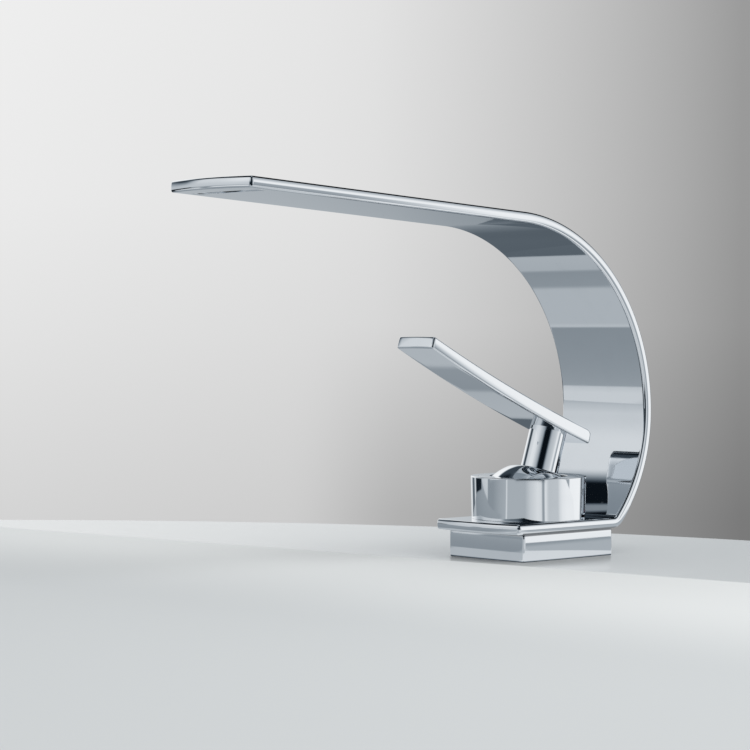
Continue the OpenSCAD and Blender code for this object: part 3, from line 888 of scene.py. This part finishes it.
    def _cover(
        self, plate: Plate, rows: np.ndarray, columns: np.ndarray, paints: Paintbox
    ) -> None:
        """Makes the cover strip, with the outlet's rounded edges.

        Args:
            plate: The ribbon.
            rows: Level of each row.
            columns: Level of each column.
            paints: Where materials come from.
        """
        strip = np.ix_(rows >= 1, columns >= 1)
        outer = plate.face(1.0)[strip]
        back = plate.face(1 - self.cover_thickness / self.thickness)[strip]
        row_hole = rows[rows >= 1] == 2
        column_hole = columns[columns >= 1] == 2
        hole = (row_hole[:-1] & row_hole[1:])[:, None] & (column_hole[:-1] & column_hole[1:])[None]
        inside = np.ix_(row_hole, column_hole)
        border = np.stack([self._loop(outer), self._loop(back)], axis=1)
        cover = Surface()
        cover.add_grid(outer, keep=~hole)
        cover.add_grid(back, keep=~hole)
        cover.add_grid(border, closed=True)
        cover.add_grid(self._outlet_wall(outer[inside], back[inside]), closed=True)
        register(cover.mesh("spout_cover_skin"), Body.FIXED, Slot.CHROME, paints, ("spout_cover",))

    @staticmethod
    def _loop(grid: np.ndarray) -> np.ndarray:
        """Points round the border of a grid."""
        return np.concatenate([grid[0, :-1], grid[:-1, -1], grid[-1, :0:-1], grid[:0:-1, 0]])

    def _outlet_wall(self, outer: np.ndarray, back: np.ndarray) -> np.ndarray:
        """Wall of the outlet: a quarter round at the face, then straight to the back.

        Args:
            outer: Grid of the opening at the face.
            back: The same grid at the strip's back.

        Returns:
            Closed grid of the wall.
        """
        face, rear = self._loop(outer), self._loop(back)
        middle = face.mean(axis=0)
        along = outer[-1, 0] - outer[0, 0]
        along /= np.linalg.norm(along)
        inward = np.array([0.0, -along[2], along[1]])
        inward *= np.sign((rear[0] - face[0]) @ inward)
        run = (face - middle) @ along
        turn = arc(0, 90, 5)
        grown = np.append(self.slot_round * (1 - np.sin(turn)), 0.0)
        sunk = np.append(self.slot_round * (1 - np.cos(turn)), self.cover_thickness)
        levels = []
        for grow, sink in zip(grown, sunk, strict=True):
            wide, long = self.slot_width / 2 + grow, self.slot_length / 2 + grow
            outline = middle + np.clip(run, -long, long)[:, None] * along + sink * inward
            outline[:, 0] = np.clip(face[:, 0], -wide, wide)
            levels.append(outline)
        return np.stack([*levels, rear], axis=1)


# Foot, housing and handle


@dataclass
class Foot:
    """Foot block: a solid rounded block under the ribbon's lower leg."""

    width: float = FOOT_WIDTH * MM
    depth: float = FOOT_DEPTH * MM
    height: float = 11.8 * MM
    shift: float = FOOT_SHIFT * MM
    corner: float = 1.0 * MM
    bore: float = 16.8 * MM
    flange_bore: float = 18.4 * MM
    flange_top: float = 4.6 * MM
    seal_recess: float = 1.2 * MM
    end_bow: float = 0.25 * MM
    side_bow: float = 0.22 * MM
    edge: Edge = Edge(0.28 * MM, 2.2, 5, 15)

    def follow(self, t: np.ndarray) -> tuple[np.ndarray, np.ndarray, np.ndarray]:
        """Flat top face: t runs along -Y and the outward normal points up."""
        return -t, np.full_like(t, self.height), np.full_like(t, math.pi / 2)

    def build(self, paints: Paintbox) -> None:
        """Makes the block, bored for the valve body and recessed for the deck seal."""
        back, front = -self.shift - self.depth / 2, -self.shift + self.depth / 2
        plate = Plate(
            self.width, self.height, back, front, self.edge, self.follow,
            self.corner, self.end_bow, self.end_bow, self.side_bow,
            stations=np.linspace(back + 1.1 * self.corner, front - 1.1 * self.corner, 60),
        )
        mesh = plate_mesh("foot_block_skin", plate.face(0.0), plate.rim(), plate.face(1.0))
        low, high = -MM, self.height + MM
        bore = np.array(
            [
                [0, low], [self.flange_bore, low], [self.flange_bore, self.flange_top],
                [self.bore, self.flange_top], [self.bore, high], [0, high],
            ]
        )
        cut_away(mesh, [ring_mesh("bore", lathe(bore)), self._recess()])
        register(mesh, Body.FIXED, Slot.CHROME, paints, ("foot_block",))

    def _recess(self) -> bpy.types.Mesh:
        """Cutter for the deck seal: a block one rim narrower than the foot."""
        rim = MM
        half = np.array([self.width / 2 - rim, self.depth / 2 - rim])
        corners = np.array([[-1, -1], [1, -1], [1, 1], [-1, 1]]) * half
        outline = rounded_profile(corners, np.full(4, self.corner))
        outline[:, 1] += self.shift
        walls = [
            np.column_stack([outline * k, np.full(len(outline), z)])
            for k, z in ((0, -MM), (1, -MM), (1, self.seal_recess), (0, self.seal_recess))
        ]
        return ring_mesh("recess", np.stack(walls, axis=1))


@dataclass
class Housing:
    """Round valve housing with the trim ring let into its top."""

    radius: float = 25.0 * MM
    low: float = 16.3 * MM
    rim: float = 34.7 * MM
    pivot: float = HandleFrame.pivot
    ball: float = 23.9 * MM
    trim_radius: float = 21.6 * MM
    trim_height: float = 3.0 * MM
    opening: float = 16.758 * MM
    gap: float = 0.05 * MM
    draft: float = 0.45 * MM
    low_round: float = 0.18 * MM
    rim_round: float = 0.45 * MM
    seat_round: float = 0.15 * MM
    mouth_round: float = 0.25 * MM

    def ball_arc(self, z_from: float, z_to: float, steps: int = 24) -> np.ndarray:
        """Points of the hollow ball between two heights: radius and height."""
        low = math.asin((z_from - self.pivot) / self.ball)
        high = math.asin((z_to - self.pivot) / self.ball)
        turn = np.linspace(low, high, steps)
        return np.column_stack([self.ball * np.cos(turn), self.pivot + self.ball * np.sin(turn)])

    def build(self, paints: Paintbox) -> None:
        """Makes the housing and its trim ring as turned pieces."""
        ledge = self.rim - self.trim_height
        outside = rounded_profile(
            np.array(
                [
                    [self.ball, self.low], [self.radius - self.draft, self.low],
                    [self.radius, self.rim], [self.trim_radius, self.rim],
                    [self.trim_radius, ledge],
                ]
            ),
            np.array([0.0, self.low_round, self.rim_round, self.seat_round, 0.0]),
        )
        inside = self.ball_arc(self.pivot, ledge)[::-1]
        housing = ring_mesh("valve_housing_skin", lathe(np.concatenate([outside, inside])))
        register(housing, Body.FIXED, Slot.CHROME, paints, ("valve_housing",))
        rise = math.sqrt(self.ball**2 - self.opening**2)
        top = rounded_profile(
            np.array(
                [
                    [self.trim_radius - self.gap, ledge], [self.trim_radius - self.gap, self.rim],
                    [self.opening, self.rim], [self.opening, self.pivot + rise],
                ]
            ),
            np.array([0.0, self.seat_round, self.mouth_round, 0.0]),
        )
        under = self.ball_arc(ledge, self.pivot + rise)[::-1]
        ring = ring_mesh("trim_ring_skin", lathe(np.concatenate([top, under])))
        register(ring, Body.FIXED, Slot.CHROME, paints, ("trim_ring",))


@dataclass
class Handle:
    """Dome, leaning stem, lever and the plug at the back of the stem."""

    axes: HandleFrame = HandleFrame()
    ball: float = 23.5 * MM
    wall: float = 1.5 * MM
    flat: float = 19.6 * MM
    shoulder: float = 5.0 * MM
    plate: float = 1.8 * MM
    skirt: float = 10.3 * MM
    boss: float = 5.05 * MM
    stem_radius: float = 8.2 * MM
    stem_top: float = 38.5 * MM
    lever_width: float = 21.8 * MM
    lever_reach: float = 88.6 * MM
    lever_back: float = 15.9 * MM
    root: float = 6.0 * MM
    tip: float = 5.05 * MM
    rise: float = 2.6
    curve: float = 810.0 * MM
    rear_round: float = 3.5 * MM
    plug_rise: float = 27.0 * MM
    plug_radius: float = 3.0 * MM
    plug_proud: float = 0.2 * MM
    plug_length: float = 2.0 * MM
    plug_gap: float = 0.05 * MM
    plug_round: float = 0.35 * MM
    stem_bevel: float = 0.12 * MM
    stem_sunk: float = 0.4 * MM
    lever_corner: float = 1.2 * MM
    lever_end_bow: float = 0.35 * MM
    lever_edge: Edge = Edge(0.85 * MM, 3.0)

    def under(self, u: np.ndarray) -> np.ndarray:
        """Height of the lever's underside: a slope plus a parabola."""
        return self.stem_top + u * math.tan(math.radians(self.rise)) + u**2 / (2 * self.curve)

    def thickness(self, u: np.ndarray) -> np.ndarray:
        """Thickness of the lever, less the drop of its rounded upper rear corner."""
        share = (u + self.lever_back) / (self.lever_reach + self.lever_back)
        into = np.clip(self.rear_round - (u + self.lever_back), 0, self.rear_round)
        drop = self.rear_round - np.sqrt(self.rear_round**2 - into**2)
        return self.root + (self.tip - self.root) * share - drop

    def follow(self, u: np.ndarray) -> tuple[np.ndarray, np.ndarray, np.ndarray]:
        """Upper face of the lever: u runs towards the tip, along -Y of the handle."""
        return -u, self.under(u) + self.thickness(u), np.full_like(u, math.pi / 2)

    def turned(self, name: str, grid: np.ndarray) -> bpy.types.Mesh:
        """A closed piece of the handle, brought into the part's frame."""
        return ring_mesh(name, self.axes.to_part(grid))

    def build(self, paints: Paintbox) -> None:
        """Makes all the handle's visible pieces."""
        self._dome(paints)
        self._stem(paints)
        self._lever(paints)
        self._plug(paints)

    def _dome(self, paints: Paintbox) -> None:
        """Ball cap with a flat top: a ball arc, then a tighter arc that meets the flat."""
        inner = self.ball - self.wall
        low_turn = math.asin(self.skirt / self.ball)
        meet = math.asin((self.flat - self.shoulder) / (self.ball - self.shoulder))
        turn = np.linspace(low_turn, meet, 40)
        outside = self.ball * np.column_stack([np.cos(turn), np.sin(turn)])
        turn = np.linspace(meet, math.pi / 2, 16)[1:]
        centre = (self.ball - self.shoulder) * np.array([math.cos(meet), math.sin(meet)])
        shoulder = centre + self.shoulder * np.column_stack([np.cos(turn), np.sin(turn)])
        top = np.array(
            [
                [0.7 * centre[0], self.flat], [self.boss, self.flat],
                [self.boss, self.flat - self.plate],
            ]
        )
        back_turn = np.linspace(
            math.asin((self.flat - self.plate) / inner), math.asin(self.skirt / inner), 24
        )
        inside = inner * np.column_stack([np.cos(back_turn), np.sin(back_turn)])
        profile = np.concatenate([outside, shoulder, top, inside])
        mesh = self.turned("handle_dome_skin", lathe(profile))
        register(mesh, Body.HANDLE, Slot.CHROME, paints, ("handle_dome",))

    def _stem(self, paints: Paintbox) -> None:
        """Stem whose top follows the lever's underside, bored at the back for the plug."""
        turn = arc(0, 360, 161)[:-1, None]
        r, bevel = self.stem_radius, self.stem_bevel
        radius = np.array([0.0, r - bevel, r, r, 0.0])
        x = radius[None] * np.cos(turn)
        y = radius[None] * np.sin(turn)
        top = self.under(-y) + self.stem_sunk
        low = np.array([self.flat, self.flat, self.flat + bevel])
        z = np.concatenate([np.broadcast_to(low, (len(turn), 3)), top[:, 3:]], axis=1)
        mesh = self.turned("handle_stem_skin", np.stack([x, y, z], axis=-1))
        cut_away(mesh, [self._across("hole", self.plug_radius, r - self.plug_length, 2 * self.plug_length)])
        register(mesh, Body.HANDLE, Slot.CHROME, paints, ("handle_stem",))

    def _across(self, name: str, radius: float, start: float, length: float) -> bpy.types.Mesh:
        """A disc on the plug's axis, which points away from the spout."""
        profile = rounded_profile(
            np.array([[0, 0], [radius, 0], [radius, length], [0, length]]),
            np.array([0.0, 0.0, min(self.plug_round, length / 4), 0.0]),
        )
        grid = lathe(profile, 72)
        swung = np.stack([grid[..., 0], grid[..., 2] + start, grid[..., 1] + self.plug_rise], -1)
        return self.turned(name, swung)

    def _plug(self, paints: Paintbox) -> None:
        """Plug over the grub screw, a little proud of the stem."""
        start = self.stem_radius - self.plug_length + self.plug_proud
        radius = self.plug_radius - self.plug_gap
        mesh = self._across("screw_plug_skin", radius, start, self.plug_length)
        register(mesh, Body.HANDLE, Slot.PLUG_PLASTIC, paints, ("screw_plug",))

    def _lever(self, paints: Paintbox) -> None:
        """Flat lever: a thin plate that curves gently upwards to its tip."""
        corner = self.lever_corner
        start, stop = -self.lever_back, self.lever_reach
        close = start + self.rear_round * (1 - np.cos(arc(0, 90, 16)))
        close = close[close > start + 1.1 * corner]
        rest = np.linspace(start + self.rear_round + 0.2 * MM, stop - 1.1 * corner, 60)
        plate = Plate(
            self.lever_width, self.root, start, stop, self.lever_edge, self.follow,
            corner, 0.0, self.lever_end_bow,
            thickness_at=self.thickness,
            stations=np.concatenate([close, rest]),
            across=np.linspace(-1, 1, 13),
        )
        grids = (self.axes.to_part(grid) for grid in (plate.face(0.0), plate.rim(), plate.face(1.0)))
        mesh = plate_mesh("lever_blade_skin", *grids)
        register(mesh, Body.HANDLE, Slot.CHROME, paints, ("lever_blade",))


# The frame's own nodes, floor, light and camera


class CarriedNodes:
    """Dresses the CAD nodes that keep their own shape."""

    def dress(self, paints: Paintbox) -> None:
        """Gives every shown node the material of its slot."""
        for part in frame["record"]["subparts"]:
            node = frame["nodes"][part["node"]]
            slot = Slot(part["material_slot"])
            node.data.materials.clear()
            node.data.materials.append(paints.material(slot))
            LOG.info("%s keeps its shape: %s", node.name, not node.hide_render)


@dataclass(frozen=True)
class Stops:
    """Tones along a scale: pairs of a place and the tone there."""

    low: float
    high: float
    tones: tuple[tuple[float, float], ...]

    def along(self, graph: Graph, place: Value) -> Value:
        """Tone at a place on the scale, linear between the stops."""
        share = (place - self.low) / (self.high - self.low)
        ramp = graph.node("ShaderNodeValToRGB", {"Fac": share})
        elements = ramp.color_ramp.elements
        while len(elements) < len(self.tones):
            elements.new(1.0)
        for element, (at, tone) in zip(elements, self.tones, strict=True):
            element.position = (at - self.low) / (self.high - self.low)
            element.color = (tone, tone, tone, 1.0)
        return Value(graph, ramp.outputs["Color"])


# The tones go back to greys that the photo shows on metal and backdrop. They were rounded to
# the stops below and adjusted against renders.
# Tones round the set by bearing: 0 is straight away from the camera, 90 to its right.
HORIZON_TONES = Stops(-180, 180, (
    (-180, 0.01), (-140, 0.02), (-128, 0.12), (-117, 0.60), (-100, 0.66), (-78, 0.62),
    (-60, 0.55), (-50, 0.62), (-44, 0.82), (-38, 0.88), (-20, 0.95), (-8.6, 0.90), (-2, 0.76),
    (0, 0.68), (2, 0.54), (5, 0.46), (9, 0.33), (28, 0.14), (50, 0.06), (53, 0.06), (57, 0.80),
    (60, 0.98), (106, 0.96), (114, 0.86), (122, 0.68), (142, 0.45), (154, 0.20), (160, 0.03),
    (180, 0.01),
))
RAISED_TONES = Stops(-180, 180, (
    (-180, 0.005), (-166, 0.006), (-160, 0.14), (-155, 0.36), (-146, 0.50), (-132, 0.68),
    (-122, 0.80), (-102, 0.84), (-90, 0.74), (-76, 0.72), (-71, 0.50), (-66, 0.12), (-61, 0.03),
    (-54, 0.05), (-47, 0.22), (-36, 0.92), (-28, 1.05), (-8.6, 0.95),
    (0, 0.75), (9, 0.36), (30, 0.22), (52, 0.24), (60, 0.48), (100, 0.54),
    (116, 0.66), (126, 0.66), (134, 0.60), (146, 0.53), (155, 0.37), (160, 0.13),
    (165, 0.006), (180, 0.005),
))
FALL_BEHIND = Stops(-60, 0, (
    (-60, 0.10), (-28, 0.15), (-24, 0.165), (-18, 0.27), (-12, 0.42), (-7.5, 0.57), (-4, 0.85),
    (0, 1.0),
))
FALL_RIGHT = Stops(-60, 0, (
    (-60, 0.20), (-40, 0.38), (-20, 0.60), (-13, 0.72), (-8, 0.94), (-5, 1.0), (0, 1.0),
))
BACKDROP_TONES = Stops(-180, 180, (
    (-180, 0.74), (-60, 0.82), (-8.6, 0.86), (-1.7, 0.80), (0.2, 0.76), (2.4, 0.66),
    (3.4, 0.61), (5.2, 0.52), (7, 0.42), (8.6, 0.32), (14, 0.34), (45, 0.60), (180, 0.74),
))
BACKDROP_RISE = Stops(-10, 10, ((-10, 0.70), (-4.4, 0.76), (0, 0.89), (3, 0.96), (8, 1.0)))
# Painted reflection: tones of the deck as polished metal sees it, by bearing from the valve axis.
DECK_TONES = Stops(-180, 180, (
    (-180, 0.63), (-170, 0.46), (-136, 0.46), (-135.2, 0.70), (-133.2, 0.70), (-132.4, 0.44),
    (-120, 0.40), (-104, 0.31), (-60, 0.29), (-48, 0.34), (-34, 0.46), (10, 0.46),
    (30, 0.10), (51, 0.12), (57, 0.90), (70, 0.92), (104, 0.92), (115, 0.86), (121, 0.75),
    (125, 0.60), (144, 0.58), (147, 0.66), (149.5, 0.78), (152.0, 0.78), (153.6, 0.34),
    (156.8, 0.34), (158.4, 0.74), (166, 0.78), (180, 0.63),
))
# Painted reflection: tones of the deck on the spout's side, by distance along Y.
SPOUT_SIDE_TONES = Stops(-260, 240, (
    (-260, 0.66), (-204, 0.60), (-196, 0.50), (-193, 0.36), (-146, 0.34), (-34, 0.29),
    (-32.5, 0.30), (-31.5, 0.55), (-30, 0.54), (-28, 0.49), (11, 0.49), (14.5, 0.32),
    (34, 0.30), (37, 0.45), (62, 0.47), (64, 0.13), (110, 0.14), (240, 0.17),
))


@dataclass
class Studio:
    """Pale floor, soft light and the camera."""

    floor_radius: float = 0.625
    floor_roll: float = 0.012
    floor_segments: int = 256
    bulge: float = 0.085
    bulge_start: float = 5.0
    bulge_rise: float = 60.0
    bulge_end: float = 93.5
    bulge_fall: float = 9.5
    floor_centre: tuple[float, float] = (0.1207, -0.4733)
    floor_colour: Colour = (0.765, 0.78, 0.775)
    front_colour: Colour = (0.62, 0.64, 0.645)
    cloud_colour: Colour = (0.68, 0.70, 0.71)
    light_colour: Colour = (0.80, 0.81, 0.82)
    ledge_slope: float = 0.136
    cloud_size: float = 120.0
    camera_place: Point = (0.7435, -0.7729, 0.0967)
    azimuth: float = 47.44
    pitch: float = -0.99
    lens: float = 118.78
    sensor: float = 36.0
    lamp_size: float = 0.7
    lamp_power: float = 2.6
    lamp_place: Point = (0.55, -0.05, 0.85)
    lamp_turn: Point = (-10.0, 33.0, 0.0)

    def build(self) -> None:
        """Makes floor, light and camera."""
        self._floor()
        self._world()
        self._lamp()
        self._camera()
        bpy.context.scene.view_settings.view_transform = "Standard"

    def _bearing(self, graph: Graph, x: Value, y: Value) -> Value:
        """Bearing in degrees: 0 is straight away from the camera, 90 to its right."""
        turn = math.radians(self.azimuth)
        c, s = math.cos(turn), math.sin(turn)
        return graph.math("ARCTAN2", x * c + y * s, y * c - x * s) * math.degrees(1)

    def _floor(self) -> None:
        """Round floor with a rolled edge, a little longer behind the part's right side.

        The extra length is a smooth rise and fall over the angle round the floor's
        centre: share squared times three less twice the share.
        """
        r, roll = self.floor_radius, self.floor_roll
        turn = arc(90, -90, 13)
        edge = np.column_stack([r - roll + roll * np.cos(turn), roll * np.sin(turn) - roll])
        profile = np.concatenate([[[0.0, 0.0]], edge, [[0.0, -2 * roll]]])
        grid = lathe(profile, self.floor_segments)
        angle = np.linspace(0, 360, self.floor_segments + 1)[:-1]
        rising, falling = angle - self.bulge_start, self.bulge_end - angle
        share = np.minimum(falling / self.bulge_fall, rising / self.bulge_rise).clip(0, 1)
        longer = 1 + self.bulge / r * share**2 * (3 - 2 * share)
        grid[..., :2] *= longer[:, None, None]
        grid[..., :2] += self.floor_centre
        mesh = ring_mesh("floor", grid)
        floor = bpy.data.objects.new("floor", mesh)
        bpy.context.scene.collection.objects.link(floor)
        mesh.materials.append(new_material("floor_glaze", self._glaze, self._mirrored))

    def _glaze(self, graph: Graph) -> dict:
        """Sockets of the floor's pale glaze: glossy behind the ledge and dull before it."""
        place = graph.place()
        cloud = graph.noise(place, self.cloud_size)
        x, y, _ = graph.split(place)
        ledge = (y - self.ledge_slope * x).step(-43.0, -39.0)
        front = graph.mix(y.step(-230.0, -90.0), self.front_colour, self.floor_colour)
        return {
            "Base Color": graph.mix(0.06 * cloud, front, self.cloud_colour),
            "Roughness": 0.30 + 0.04 * cloud,
            "Specular IOR Level": 0.0,
            "Coat Weight": 0.6 * ledge,
            "Coat Roughness": 0.05,
        }

    def _mirrored(self, graph: Graph, glaze: Value) -> Value:
        """The glaze, but the lit deck's tones painted as a glow where polished metal mirrors it."""
        # Painted reflection: the floor glows with these tones for glossy rays only.
        painted_reflection = graph.value("ShaderNodeEmission", {"Color": self._deck_tone(graph)})
        glossy = graph.value("ShaderNodeLightPath", output="Is Glossy Ray")
        return graph.value("ShaderNodeMixShader", {0: glossy, 1: glaze, 2: painted_reflection})

    def _deck_tone(self, graph: Graph) -> Value:
        """Painted reflection of the deck: greyer on the spout's side, light in front of the foot."""
        x, y, _ = graph.split(graph.place())
        bearing = self._bearing(graph, x, y)
        far = graph.math("SQRT", x * x + y * y)
        slant = x + 0.9 * y
        spare = y.step(-182.0, -190.0) * bearing.step(-89.0, -92.0)
        spout_side = bearing.band(-128.0, -118.0, 10.0, 30.0) * (1 - spare)
        bright = bearing.band(-120.0, -114.0, -98.0, -94.0) * far.step(350.0, 420.0)
        front = y.band(-56.0, -52.5, -27.0, -20.0) * x.band(-62.0, -42.0, 75.0, 95.0)
        beside = slant.step(66.0, 70.0) * (x + 0.1 * y).step(126.0, 118.0)
        beside = beside * (y - 0.78 * x).step(-36.0, -32.0) * y.step(140.0, 120.0)
        close = x.step(16.0, 20.0) * slant.step(70.0, 66.0) * far.step(70.0, 64.0)
        room = abs(bearing).step(148.0, 156.0) * far.step(330.0, 350.0)
        corner = bearing.band(-73.0, -70.0, -55.0, -50.0) * far.step(330.0, 342.0)
        tone = DECK_TONES.along(graph, bearing)
        for area, other in (
            (spout_side, SPOUT_SIDE_TONES.along(graph, y)),
            (bright, 0.8),
            (front, 0.51),
            (beside, 0.47 - 0.13 * x.step(72.0, 102.0)),
            (close, 0.75),
            (room, 0.02),
            (corner, 0.015),
        ):
            tone = tone.covered(area, other)
        # Painted contact shadow: the mirrored deck turns dark right round the foot's outline.
        tone = tone * (0.06 + 0.94 * past_foot(x, y).step(-0.2, 2.4))
        return self._cooled(graph, tone)

    @staticmethod
    def _cooled(graph: Graph, tone: Value) -> Value:
        """Colour of a tone: greys lean to blue the darker they are."""
        parts = {0: tone.power(1.10), 1: tone, 2: tone.power(0.92)}
        return graph.value("ShaderNodeCombineColor", parts)

    @staticmethod
    def _set_tone(graph: Graph, bearing: Value, height: Value) -> Value:
        """Tone of the set as metal sees it: cards and flags below a dark ceiling."""
        side = bearing.band(38.0, 56.0, 112.0, 135.0)
        raised = (height - 3.0 * side).step(2.0, 16.0)
        tone = HORIZON_TONES.along(graph, bearing).covered(raised, RAISED_TONES.along(graph, bearing))
        fall = FALL_BEHIND.along(graph, height).covered(side, FALL_RIGHT.along(graph, height))
        tone = tone * fall
        beyond = bearing.band(91.8, 96.5, 104.0, 114.0) * height.step(4.5, -1.0)
        slit = bearing.band(-41.0, -38.0, -27.0, -24.0) * height.step(-2.5, -4.0)
        corner = bearing.band(-73.0, -70.0, -48.5, -45.5) * height.step(-2.6, -3.6)
        for area, loss in ((beyond, 0.6), (slit, 0.8), (corner, 0.97)):
            tone = tone * (1 - loss * area)
        low_edge = 33.6 - 15.6 * bearing.band(-3.0, 6.0, 60.0, 80.0)
        ceiling = (height - low_edge).step(-3.7, 3.7)
        gleam = bearing.band(-66.0, -62.0, -52.0, -44.0) * height.band(44.4, 45.4, 46.2, 47.0)
        roof = 0.006 + 0.05 * bearing.band(-45.0, -25.0, -5.0, 5.0) + 0.24 * gleam
        roof = roof + 0.12 * height.step(52.0, 70.0)
        return tone.covered(ceiling, roof).covered(height.step(76.0, 82.0), 0.86)

    @staticmethod
    def _backdrop(graph: Graph, bearing: Value, height: Value) -> Value:
        """Backdrop as the camera sees it, darker low down on the right."""
        tone = BACKDROP_TONES.along(graph, bearing) * BACKDROP_RISE.along(graph, height)
        low = ((0.2 - height) / 4.4).most(0.0).least(1.0)
        return tone * (1 - 0.22 * bearing.band(-2.2, 0.8, 60.0, 150.0) * low)

    def _world(self) -> None:
        """Set round the object: a pale backdrop, white cards and two dark flags.

        The camera sees the backdrop, polished metal and glass see the whole set, and
        everything else is lit by an even pale light.
        """
        world = bpy.data.worlds.new("studio")
        bpy.context.scene.world = world
        world.use_nodes = True
        graph = Graph(world.node_tree)
        x, y, z = graph.split(graph.value("ShaderNodeTexCoord", output="Generated"))
        bearing = self._bearing(graph, x, y)
        height = graph.math("ARCSINE", z) * math.degrees(1)
        tone = self._set_tone(graph, bearing, height)
        path = graph.node("ShaderNodeLightPath")
        camera = Value(graph, path.outputs["Is Camera Ray"])
        glossy = Value(graph, path.outputs["Is Glossy Ray"])
        glossy = glossy.most(Value(graph, path.outputs["Is Transmission Ray"]))
        lit = graph.mix(camera, self.light_colour, self._backdrop(graph, bearing, height))
        colour = graph.mix(glossy, lit, self._cooled(graph, tone))
        light = graph.value("ShaderNodeBackground", {"Color": colour})
        graph.node("ShaderNodeOutputWorld", {0: light})

    def _lamp(self) -> None:
        """Large soft lamp above and to the right."""
        data = bpy.data.lights.new("soft_lamp", "AREA")
        data.shape, data.size, data.energy = "DISK", self.lamp_size, self.lamp_power
        lamp = bpy.data.objects.new("soft_lamp", data)
        bpy.context.scene.collection.objects.link(lamp)
        lamp.visible_glossy = False
        lamp.location = self.lamp_place
        lamp.rotation_euler = np.radians(self.lamp_turn)

    def _camera(self) -> None:
        """Camera at the fitted place, looking level across the deck."""
        a, e = math.radians(self.azimuth), math.radians(self.pitch)
        right = np.array([math.cos(a), math.sin(a), 0.0])
        ahead = np.array([-math.sin(a) * math.cos(e), math.cos(a) * math.cos(e), math.sin(e)])
        up = np.cross(right, ahead)
        pose = np.eye(4)
        pose[:3, 0], pose[:3, 1], pose[:3, 2], pose[:3, 3] = right, up, -ahead, self.camera_place
        data = bpy.data.cameras.new("camera")
        data.lens, data.sensor_width = self.lens, self.sensor
        data.clip_start, data.clip_end = 0.05, 20.0
        camera = bpy.data.objects.new("camera", data)
        bpy.context.scene.collection.objects.link(camera)
        camera.matrix_world = Matrix(pose.tolist())
        bpy.context.scene.camera = camera


def main() -> None:
    """Builds every piece in order."""
    logging.basicConfig(level=logging.INFO, format="%(name)s %(message)s")
    paints = Paintbox()
    for assembly in (Ribbon(), Foot(), Housing(), Handle()):
        LOG.info("building %s", type(assembly).__name__)
        assembly.build(paints)
    CarriedNodes().dress(paints)
    Studio().build()


if __name__ == "__main__":
    main()
